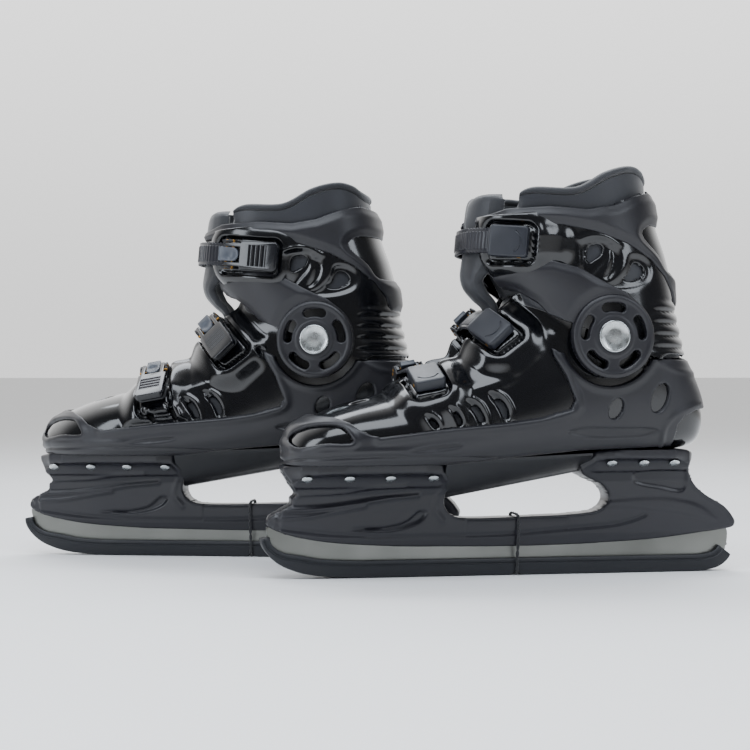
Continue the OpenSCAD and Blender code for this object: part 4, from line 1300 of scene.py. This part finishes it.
@dataclass(frozen=True)
class Cuff:
    """The hinged upper: its glossy shell, the matte collar and arms, the padded liner above the ankle."""

    wall: float = 2.5
    trim: float = 2.5
    disc: float = 28.0
    face: float = 53.6
    cap: float = 10.6
    opening: float = 20.0

    def front(self, half: float, back: float = 10.0) -> Field:
        """Gives a field that is positive in the opening over the shin."""
        return lambda p: np.minimum(half - np.abs(p[:, 1]), back - p[:, 0])

    def shell(self) -> bpy.types.Object:
        """Models the cuff shell with its teardrop windows, scoops, ribs and strap beds."""
        openings = [outline_field(shifted(w, 0.6, 0.8, 0.74), 5) for w in WINDOWS]
        scoops = [
            pressed(outline_field([(41, 226), (50, 228.5), (59, 227), (61.5, 221), (59, 213), (52, 205), (44, 197),
                (39.5, 194), (38.5, 199), (40, 210)], 5), 1.5, 3.5),
            pressed(outline_field([(76, 217), (84, 217.5), (92, 213), (94, 206), (91, 199.5), (83, 195.5),
                (72, 193.5), (62, 194), (58, 196), (66, 201), (72, 208)], 5), 1.5, 3.5),
            pressed(outline_field([(60.5, 222), (66, 222), (68.5, 215), (66, 206), (60, 200.5), (57, 201),
                (59.5, 208), (61, 215)], 5), 1.6, 3.0),
        ]
        hump = lambda p: 2.6 * ramp(rounded_box(p[:, 0] - 17, p[:, 2] - 224, 17, 11.5, 8), -4,
            6) * (np.abs(p[:, 1]) > 20)

        def bellows(p: Array) -> Array:
            """Ripples the back of the ankle in soft ribs."""
            back = ramp(p[:, 0], 88, 104) * ramp(p[:, 2], 149, 154) * ramp(-p[:, 2], -190, -184)
            return 1.9 * back * (np.abs(np.cos((p[:, 2] - 151.0) / 8.3 * math.pi)) ** 0.7 - 0.6)

        relief = both_of(seat_relief(2, 4.4), *scoops, hump, bellows,
                         lined(curve_field([(4, 214), (5.5, 224), (6, 236)]), 1.0, 1.6),
                         lined(curve_field([(40, 227), (50, 229.8), (60, 228.4), (68, 224)]), 0.8, 1.6))
        border = overlap(outline_field(CUFF_EDGE, 0), without(self.front(self.opening), *openings))
        return Panel("right.cuff_shell", 0.0, self.wall, border, relief, pitch=1.3, lip=1.0, depth=self.wall,
            table=CUFF, s_range=(0.0, 6.9), angle=80).build()

    def collar(self) -> bpy.types.Object:
        """Models the collar band: convex, with a wave along its top and a window in each rear wing."""
        outline = outline_field(COLLAR_EDGE, 0)
        window = outline_field(COLLAR_WINDOW, 4)

        def crown(p: Array) -> Array:
            """Swells the band towards its middle."""
            d = np.minimum(outline(p), -window(p))
            return 2.2 * ramp(d, 0, 7.0)

        seats = [seat(2, angle) for angle in STRAP_ENDS[2]]

        def cut(p: Array) -> Array:
            """Clears the band round the strap's two feet."""
            boxes = [np.where(np.abs((p - o) @ n) < 22, rounded_box((p - o) @ a - 3, (p - o) @ c, 27, 12.0, 5), -9)
                     for o, a, c, n in seats]
            return np.max(boxes, 0)

        border = overlap(outline, without(window, self.front(self.opening + 1), cut))
        return Panel("right.cuff_collar", self.wall + 0.1, self.trim - 1.4, border, crown, pitch=1.25, lip=1.1,
            depth=2.0, table=CUFF, s_range=(1.6, 6.95), angle=80).build()

    def slots(self) -> list[Field]:
        """Gives the five curved slots of the disc, each a bent band with round ends."""
        lines = [curve_field(arc(PIVOT, 19.7, 90 + 72 * k - 16, 90 + 72 * k + 16, 7)) for k in range(5)]
        return [lambda p, line=line: 2.9 - line(p) for line in lines]

    def arms(self) -> bpy.types.Object:
        """Models the arms and the round hub they end in."""
        slots = self.slots()
        outline = outline_field(ARM_EDGE, 0)

        outside = lambda p: self.radius(p) - self.disc + 0.8

        def edge(p: Array) -> Array:
            """Crowns the arm from its borders to its middle."""
            return 1.3 * ramp(outline(p), 0, 6.0) * ramp(self.radius(p), 28.5, 36)

        border = overlap(outline, without(self.front(self.opening + 1)), outside)
        arms = Panel("arms", self.wall + 0.1, self.trim, border, edge, pitch=1.15, lip=1.0, depth=2.6, table=CUFF,
            s_range=(0.0, 5.2), angle=80).build()
        reach = self.disc + 1
        hub = Flank("hub", 0.0, 0.0, overlap(lambda p: self.disc - self.radius(p), without(*slots)),
                    lambda p: 0.6 * np.exp(-(((self.radius(p) - 25.4) / 1.2) ** 2)) + 0.5 * ramp(-self.radius(p),
                        -14.4, -13.2),
                    pitch=0.85, lip=1.2, depth=7.5, half=lambda p: np.full(len(p), self.face),
                        x_range=(PIVOT[0] - reach, PIVOT[0] + reach),
                    z_range=(PIVOT[1] - reach, PIVOT[1] + reach), angle=75).both()
        return smooth(join("right.ankle_arms", [arms, hub]), 75)

    def radius(self, p: Array) -> Array:
        """Gives each point's distance from the ankle's axis."""
        return np.hypot(p[:, 0] - PIVOT[0], p[:, 2] - PIVOT[1])

    def pivots(self) -> bpy.types.Object:
        """Models one dished rivet cap with a rolled rim, and sets one on each hub."""
        parts = []
        for sign in (1, -1):
            cap = basic(bpy.ops.mesh.primitive_cylinder_add, vertices=72, radius=self.cap * MM, depth=1.5 * MM,
                end_fill_type="NGON")
            edit(cap, lambda: bpy.ops.mesh.inset(thickness=0.7 * MM, depth=0.25 * MM),
                lambda: bpy.ops.mesh.inset(thickness=0.5 * MM, depth=-0.1 * MM),
                 lambda: bpy.ops.mesh.inset(thickness=0.5 * MM, depth=-0.3 * MM),
                     lambda: bpy.ops.mesh.inset(thickness=4.2 * MM, depth=-0.12 * MM),
                 lambda: bpy.ops.mesh.inset(thickness=2.4 * MM, depth=0.12 * MM), pick=lambda f: f.normal.z > 0.9)
            modify(cap, "BEVEL", width=0.22 * MM, segments=2, limit_method="ANGLE", angle_limit=math.radians(30))
            turn = Matrix.Rotation(math.radians(-90 * sign), 4, "X")
            place(cap, Matrix.Translation((PIVOT[0] * MM, sign * (self.face + 0.8) * MM, PIVOT[1] * MM)) @ turn)
            parts.append(cap)
        return smooth(join("right.pivot_caps", parts), 35)

    def tops(self, angles: Array) -> Array:
        """Finds how far up the loft the liner's rim lies at each angle."""
        x, _, z = spline([(x, 0, z) for x, z in LINER_TOP], 300).T
        s = np.linspace(3.0, 7.0, 161)
        out = []
        for a in angles:
            p = on_loft(CUFF, s, np.full(161, a), -0.6)
            over = p[:, 2] - np.interp(p[:, 0], x, z)
            out.append(float(np.interp(0, over, s)))
        return np.array(out)

    def liner(self, dresser: Dresser) -> bpy.types.Object:
        """Models the padded collar of the liner: its outer cloth, the bound rim and the brushed lining.

        Args:
            dresser: Holds the materials for the three cloths.

        Returns:
            One closed pad, open at the shin.
        """
        n = 150
        # The half-angle it leaves open at the shin, low down and at the top.
        low, high = 33, 54
        angles = np.linspace(low, 360 - low, n)
        top = self.tops(180 + (angles - 180) * (180 - high) / (180 - low))

        def cloth(s: Array, off: float) -> Array:
            """Gives one row of the liner, which opens wider towards its top."""
            start = np.interp(s, [3.2, 5.6], [low, high])
            return on_loft(CUFF, s, 180 + (angles - 180) * (180 - start) / (180 - low), off)

        rows, marks = [], []
        for t in np.linspace(0, 1, 44):
            s = 0.25 + (top - 0.16 - 0.25) * t
            puff = 0.9 * np.sin(np.pi * t) ** 0.5
            rows.append(cloth(s, -0.9 - 0.25 * puff))
            marks.append(0)
        for turn in np.linspace(-70, 250, 18):
            c, w = math.cos(math.radians(turn)), math.sin(math.radians(turn))
            rows.append(cloth(top - 0.02 + 0.135 * w, -4.2 + 4.3 * c))
            marks.append(1)
        for t in np.linspace(0, 1, 30):
            s = (top - 0.16) * (1 - t) + 0.25 * t
            rows.append(cloth(s, -7.6 - 0.7 * math.sin(math.pi * min(t * 3, 1.0))))
            marks.append(2)
        m = len(rows)
        points = np.concatenate(rows)
        ease = np.minimum(np.arange(n), n - 1 - np.arange(n)) / 7.0
        pinch = np.sqrt(np.clip(1 - (1 - np.clip(ease, 0, 1)) ** 2, 0, 1))
        for j in range(m):
            centre = (rows[j] + rows[m - 1 - j]) / 2
            keep = (0.25 + 0.75 * pinch)[:, None]
            points[j * n:(j + 1) * n] = np.where(np.array(marks[j] == 1), rows[j], centre + (rows[j] - centre) * keep)
        faces, keys = [], []
        for j in range(m):
            q = (j + 1) % m
            for i in range(n - 1):
                faces.append([j * n + i, j * n + i + 1, q * n + i + 1, q * n + i])
                keys.append(marks[j])
        faces += [[j * n for j in range(m)], [j * n + n - 1 for j in range(m)][::-1]]
        keys += [1, 1]
        obj = mesh_object("right.liner_collar", points, faces)
        dresser.paint(obj, "liner", "binding", "lining")
        obj.data.polygons.foreach_set("material_index", np.array(keys, np.int32))
        outward(obj)
        return smooth(obj, 70)

    def tongue(self, dresser: Dresser) -> bpy.types.Object:
        """Models the padded tongue, curved round the shin, with a bound edge and a stitched seam.

        Args:
            dresser: Holds the materials for its cloths.

        Returns:
            The closed pad.
        """
        front = np.array([(-6, 150), (-9.5, 160), (-11.5, 171), (-14, 181.5), (-21, 188), (-27.5, 195.5), (-30, 204),
            (-29.2, 213), (-27.8, 221), (-27, 230), (-27, 240), (-26.2, 247), (-25, 252.5), (-22.6, 257.2)])
        rows, cols = 70, 33
        line = spline(front, rows)
        t = np.linspace(0, 1, rows)
        half = np.interp(t, [0, 0.25, 0.38, 0.5, 0.7, 0.9, 0.96, 1.0], [14.5, 14.8, 15.6, 20.5, 25, 26, 24.5, 19.0])
        thick = np.interp(t, [0, 0.2, 0.35, 0.6, 0.92, 1.0], [4.0, 4.5, 7.0, 8.5, 8.0, 4.5])
        tangent = np.gradient(line, axis=0)
        tangent /= np.linalg.norm(tangent, axis=1)[:, None]
        inward = np.stack([tangent[:, 1], -tangent[:, 0]], 1)
        points, keys, faces = [], [], []
        v = np.linspace(-1, 1, cols)
        for side in (0, 1):
            for i in range(rows):
                bend = v**2 * np.interp(t[i], [0, 0.3, 0.42, 0.55, 1], [2.6, 4.0, 7.5, 15.0, 17.5])
                edge = np.sqrt(np.clip(1 - np.clip((np.abs(v) - 0.72) / 0.28, 0, 1) ** 2, 0, 1))
                seam = 1.1 * np.exp(-(((np.abs(v) - 0.78) * half[i] / 0.9) ** 2))
                seam += 0.8 * np.exp(-((v * half[i] / 0.9) ** 2)) * (t[i] > 0.55)
                shut = math.sqrt(max(1 - max((t[i] - 0.94) / 0.06, 0) ** 2, 0))
                reach = 0.5 if side else seam / thick[i] * 0.6 - 0.5
                depth = thick[i] * (0.5 + reach * edge * shut)
                xz = line[i] + inward[i] * (bend + depth)[:, None]
                rise = 11.5 * np.abs(v) ** 1.1 * float(ramp(t[i:i + 1], 0.66, 1.0)[0])
                points.append(np.stack([xz[:, 0], v * half[i], xz[:, 1] + rise], 1))
        for side in (0, 1):
            base = side * rows * cols
            for i in range(rows - 1):
                for j in range(cols - 1):
                    a = base + i * cols + j
                    faces.append([a, a + 1, a + cols + 1, a + cols])
                    keys.append(1 if (j < 3 or j > cols - 5 or i > rows - 5) else (0 if side == 0 else 2))
        for i in range(rows - 1):
            for j in (0, cols - 1):
                a, b = i * cols + j, rows * cols + i * cols + j
                faces.append([a, a + cols, b + cols, b])
                keys.append(1)
        for i in (0, rows - 1):
            for j in range(cols - 1):
                a, b = i * cols + j, rows * cols + i * cols + j
                faces.append([a, a + 1, b + 1, b])
                keys.append(1)
        obj = mesh_object("right.tongue", np.concatenate(points), faces)
        dresser.paint(obj, "liner", "binding", "lining")
        obj.data.polygons.foreach_set("material_index", np.array(keys, np.int32))
        outward(obj)
        return smooth(obj, 70)

    def pieces(self, dresser: Dresser) -> list[Piece]:
        """Makes the pieces."""
        bend = ((40.0, 0.0, 150.0), (40.0, 0.0, 205.0))
        shin = ((-15.0, 0.0, 180.0), (-25.0, 0.0, 212.0))
        return [
            Piece(self.shell(), "cuff", "shell", "shell_gloss", ("cuff_shell",)),
            Piece(self.collar(), "cuff", "trim", "matte_trim", ("cuff_collar",)),
            Piece(self.arms(), "cuff", "trim", "matte_trim", ("ankle_arms",)),
            Piece(self.pivots(), "boot", "rivet", "pivot_steel", ("pivot_rivets",)),
            Piece(self.liner(dresser), "boot", "liner", "liner_fabric", ("liner_collar",), "cuff", bend, 0.75),
            Piece(self.tongue(dresser), "boot", "liner", "liner_fabric", ("tongue",), "cuff", shin, 0.7),
        ]


class Strap(Enum):
    """The three straps, from the toe up, with the body that each one's ends ride on."""

    TOE = (0, "boot")
    INSTEP = (1, "boot")
    CUFF = (2, "cuff")

    @property
    def word(self) -> str:
        """Gives the strap's name as the frame spells it."""
        return self.name.lower()


@dataclass(frozen=True)
class Buckle:
    """One ratchet strap: the ladder, the capped end, the foot with its pins, the lever and the release tab."""

    strap: Strap
    width: float = 17.0
    thick: float = 2.6
    rise: float = 1.7
    lever: float = 21.0
    lever_pin: float = -14.0
    tab_pin: float = -9.0
    pin_z: float = 7.0

    def seats(self) -> tuple[float, float]:
        """Gives the angles of the buckle's seat and the cap's seat."""
        return STRAP_ENDS[self.strap.value[0]]

    def onto(self, obj: bpy.types.Object, lateral: bool) -> bpy.types.Object:
        """Sets a piece made about the origin on the buckle's seat or the cap's seat."""
        index = self.strap.value[0]
        return place(obj, seat_matrix(index, self.seats()[0 if lateral else 1]))

    def ladder(self) -> bpy.types.Object:
        """Models the strap with cross ridges on its face and teeth along both edges."""
        index = self.strap.value[0]
        table, s, lift = STRAP_LINES[index]
        a0, a1 = self.seats()
        f, g = seat(index, a0), seat(index, a1)
        h = self.rise + self.thick / 2
        points = [f[0] + f[1] * x + f[3] * (h - sink) for x,
            sink in ((19, 0), (8, 0), (-4, 0), (-12, 0.1), (-18, 0.9))]
        # Between its ends the strap lies on the tongue, from near the buckle to halfway to its fixed end.
        leave = a0 * (0.68 if a0 > 50 else 0.4)
        points += [on_loft(table, s, leave * (1 - k) + a1 * 0.5 * k, lift + h + 1.2)[0]
            for k in np.arange(1, 10) / 10]
        points += [g[0] + g[1] * x + g[3] * h for x in (-14.5, 0, 7)]
        rough = np.array(points)
        dense = spline(rough, 1200)
        way = run_lengths(dense)
        total = way[-1]
        count = int(total / 0.55)
        line = np.stack([np.interp(np.linspace(0, total, count), way, dense[:, i]) for i in range(3)], 1)
        tangent = np.gradient(line, axis=0)
        across = f[2]
        ups = np.cross(tangent, across)
        ups *= np.sign((ups[0] * f[3]).sum())

        def ring(t: float, i: int) -> Array:
            """Draws the section: teeth widen it, ridges thicken its face, and both ends are rounded."""
            d = t * total
            wave = (d / 3.3) % 1.0
            ridge = 0.55 * min(1.0, 4 * (1 - wave)) * (1 if 0.30 < wave else 0)
            shown = 1.0 if 2 < d < total - 14 else 0.0
            tooth = 0.55 * (1 if 0.35 < wave < 0.9 else 0) * shown
            end = min(d, total - d)
            narrow = 3.2 * (1 - math.sqrt(max(1 - (1 - min(end / 4.0, 1)) ** 2, 0)))
            w = self.width / 2 - 0.55 - narrow
            b, top = -self.thick / 2, self.thick / 2 - 0.45
            up = top + ridge * shown
            out = w + tooth
            shape = [(-out + 0.3, b), (out - 0.3, b), (out, b + 0.4), (out, top - 0.35), (out - 0.35, top),
                (w - 1.9, top), (w - 2.3, up), (-w + 2.3, up), (-w + 1.9, top), (-out + 0.35, top),
                (-out, top - 0.35), (-out, b + 0.4)]
            return np.array(shape)

        obj = sweep(f"right.{self.strap.word}_ladder", line, ring, ups)
        return smooth(obj, 32)

    def foot(self, dresser: Dresser) -> bpy.types.Object:
        """Models the buckle's foot with its two ears and the brass pins' ends."""
        plate = slab("foot", rounded(20.5, 10.3, 3.0, (0.5, 0)), 0.02, 1.5, 0.4)
        parts = [plate]
        for sign in (1, -1):
            ear = slab("ear", [(-20, 0.1), (-6, 0.1), (-6.4, 3.4), (-9, 8.2), (-11.4, 9.6), (-15, 9.6), (-17.6, 8.2),
                (-19.6, 3.4)], 0, 1.4, 0.3, 2)
            turn = Matrix.Translation((0, sign * 9.6 * MM + 0.7 * MM, 0)) @ Matrix.Rotation(math.radians(90), 4, "X")
            parts.append(place(ear, turn))
        body = join("body", parts)
        dresser.paint(body, "foot")
        pins = []
        for x, r in ((self.lever_pin, 1.1), (self.tab_pin, 1.1)):
            pin = basic(bpy.ops.mesh.primitive_cylinder_add, vertices=24, radius=r * MM, depth=20.9 * MM,
                location=(x * MM, 0, self.pin_z * MM), rotation=(math.radians(90), 0, 0))
            edit(pin, lambda: bpy.ops.mesh.inset(thickness=0.25 * MM, depth=0.2 * MM),
                pick=lambda f: abs(f.normal.y) > 0.9)
            pins.append(pin)
        rods = join("rods", pins)
        dresser.paint(rods, "brass")
        both = join(f"right.{self.strap.word}_buckle_foot", [body, rods])
        return smooth(self.onto(both, True), 35)

    def lever_body(self) -> bpy.types.Object:
        """Models the lever: a crowned handle with finger grooves, two arms and a hollow underside."""
        half = self.lever / 2
        outline = [(-15.9, 8.6), (-15.9, 5.6), (-2.8, 5.6), (-2.8, -5.6), (-15.9, -5.6), (-15.9, -8.6), (-2.4, -8.6),
            (-1.6, -half), *[(24 + 3 * math.cos(t),
            -half + 3.2 + 3.2 * math.sin(t)) for t in np.linspace(-math.pi / 2, 0, 6)],
                   *[(24 + 3 * math.cos(t), half - 3.2 + 3.2 * math.sin(t)) for t in np.linspace(0, math.pi / 2, 6)],
                       (-1.6, half), (-2.4, 8.6)]
        obj = slab(f"right.{self.strap.word}_lever", outline, 5.2, 9.9, 0.7, 3)
        hollow = slab("hollow", rounded(12.0, half - 1.8, 1.5, (12.6, 0)), 3.0, 7.6, 0)
        cutters = [hollow]
        for x in (6.0, 9.6, 13.2, 16.8):
            cutters.append(basic(bpy.ops.mesh.primitive_cylinder_add, vertices=32, radius=3.0 * MM,
                depth=15.5 * MM, location=(x * MM, 0, 12.2 * MM), rotation=(math.radians(90), 0, 0)))
        carve(obj, *cutters)
        return smooth(self.onto(obj, True), 35)

    def tab(self) -> bpy.types.Object:
        """Models the grey release tab, round at its free end and dished for a finger."""
        outline = [(-19.5, 5.1), (-19.5, -5.1), (-8.6, -5.1),
            *[(-8.6 + 5.1 * math.cos(t), 5.1 * math.sin(t)) for t in np.linspace(-math.pi / 2 + 0.15,
            math.pi / 2 - 0.15, 14)], (-8.6, 5.1)]
        obj = slab(f"right.{self.strap.word}_release", outline, 6.0, 9.8, 0.6, 3)
        carve(obj, basic(bpy.ops.mesh.primitive_uv_sphere_add, segments=32, ring_count=16, radius=9 * MM,
            location=(-9.6 * MM, 0, 17.7 * MM)))
        return smooth(self.onto(obj, True), 35)

    def end_cap(self, dresser: Dresser) -> bpy.types.Object:
        """Models the cap over the strap's fixed end, with a thumb crescent and a pin's ends."""
        outline = rounded(13.3, self.lever / 2, 2.4, (-0.5, 0))
        obj = slab("cap", outline, 0.1, 7.8, 1.3, 4)
        tunnel = slab("tunnel", rounded(13.0, self.width / 2 + 0.35, 0.4, (-7.5, 0)), -1.0, 4.7, 0)
        crescent = basic(bpy.ops.mesh.primitive_torus_add, major_radius=8 * MM, minor_radius=0.8 * MM,
            major_segments=48, minor_segments=10, location=(0.5 * MM, 0, 8.1 * MM))
        half = slab("half", [(-20, -14), (4.4, -14), (4.4, 14), (-20, 14)], 6, 11, 0)
        carve(crescent, half)
        carve(obj, tunnel, crescent)
        dresser.paint(obj, "cap")
        pin = basic(bpy.ops.mesh.primitive_cylinder_add, vertices=24, radius=1.3 * MM, depth=21.5 * MM,
            location=(7.0 * MM, 0, 3.1 * MM), rotation=(math.radians(90), 0, 0))
        edit(pin, lambda: bpy.ops.mesh.inset(thickness=0.3 * MM, depth=0.15 * MM),
            pick=lambda f: abs(f.normal.y) > 0.9)
        dresser.paint(pin, "brass")
        both = join(f"right.{self.strap.word}_end_cap", [obj, pin])
        return smooth(self.onto(both, False), 35)

    def pieces(self, dresser: Dresser) -> list[Piece]:
        """Makes the pieces."""
        word, body = self.strap.word, self.strap.value[1]
        return [
            Piece(self.ladder(), body, "strap", "ladder_strap", (f"{word}_strap",)),
            Piece(self.end_cap(dresser), body, "cap", "cap_plastic", (f"{word}_strap_cap",)),
            Piece(self.foot(dresser), body, "foot", "buckle_base", (f"{word}_buckle_base",)),
            Piece(self.lever_body(), f"{word}_lever", "lever", "lever_gloss", (f"{word}_lever",)),
            Piece(self.tab(), f"{word}_release_tab", "tab", "tab_plastic", (f"{word}_release_tab",)),
        ]


@dataclass(frozen=True)
class Studio:
    """A pale floor, soft lights and the camera."""

    eye: tuple[float, float, float] = (-0.2898, -1.1369, 0.137)
    pan: float = 10.0
    lens: float = 81.6
    lights: tuple[tuple[tuple[float, float, float], tuple[float, float, float], float, float, float], ...] = (
        ((-0.3, -0.75, 1.35), (0.0, 0.05, 0.12), 1.5, 0.8, 24.0),
        ((1.0, -1.0, 0.8), (0.0, 0.05, 0.12), 0.35, 0.9, 6.0),
        ((-1.35, -0.6, 0.6), (-0.1, 0.05, 0.12), 0.4, 0.9, 8.0),
        ((0.0, 0.9, 1.5), (0.0, 0.05, 0.12), 1.8, 0.6, 18.0),
    )

    def floor(self) -> None:
        """Lays the floor."""
        bpy.ops.object.select_all(action="DESELECT")
        bpy.ops.mesh.primitive_plane_add(size=160, location=(0, 0, -0.0002))
        floor = bpy.context.active_object
        floor.name = "studio_floor"
        floor.data.materials.append(Finish("Matt white paper", "#fbfbfb", "#f7f7f7", 0.9, 0.02, 1.2, 0.02,
            200.0).make())

    def lamps(self) -> None:
        """Hangs the soft lights and lights the room evenly."""
        for k, (at, aim, wide, tall, power) in enumerate(self.lights):
            lamp = bpy.data.lights.new(f"softbox_{k}", "AREA")
            lamp.color = (0.86, 0.92, 1.0)
            lamp.shape, lamp.size, lamp.size_y, lamp.energy = "RECTANGLE", wide, tall, power
            obj = bpy.data.objects.new(f"softbox_{k}", lamp)
            obj.location = at
            obj.rotation_euler = (Vector(aim) - Vector(at)).to_track_quat("-Z", "Y").to_euler()
            bpy.context.scene.collection.objects.link(obj)
        world = bpy.data.worlds.new("Studio")
        bpy.context.scene.world = world
        world.use_nodes = True
        tree = world.node_tree
        way = add(tree, "SeparateXYZ", {0: add(tree, "TexCoord").outputs["Generated"]})
        glow = add(tree, "MapRange", {"Value": way.outputs["Y"], "From Min": -0.1, "From Max": 0.7, "To Min": 0.18,
            "To Max": 2.0}, interpolation_type="SMOOTHSTEP")
        level = add(tree, "MapRange", {"Value": way.outputs["Z"], "From Min": 0.0, "From Max": 0.3, "To Min": 0.62,
            "To Max": 1.0}, interpolation_type="SMOOTHSTEP")
        glow = add(tree, "Math", {0: glow.outputs[0], 1: level.outputs[0]}, operation="MULTIPLY")
        back = tree.nodes["Background"]
        back.inputs["Color"].default_value = (1, 1, 1, 1)
        tree.links.new(glow.outputs[0], back.inputs["Strength"])

    def camera(self) -> None:
        """Sets the camera level, looking slightly from the toe's side."""
        data = bpy.data.cameras.new("camera")
        data.lens, data.sensor_width = self.lens, 36
        obj = bpy.data.objects.new("camera", data)
        obj.location = self.eye
        obj.rotation_euler = (math.radians(90), 0, -math.radians(self.pan))
        bpy.context.scene.collection.objects.link(obj)
        bpy.context.scene.camera = obj


def main() -> None:
    """Builds the skates and their studio."""
    logging.basicConfig(level=logging.INFO, format="%(asctime)s %(message)s")
    dresser = Dresser()
    makers = [Chassis().pieces, Boot().pieces, lambda: Cuff().pieces(dresser),
        *[lambda s=s: Buckle(s).pieces(dresser) for s in Strap]]
    for maker in makers:
        for piece in maker():
            dresser.finish(piece)
    studio = Studio()
    studio.floor()
    studio.lamps()
    studio.camera()


if __name__ == "__main__":
    main()
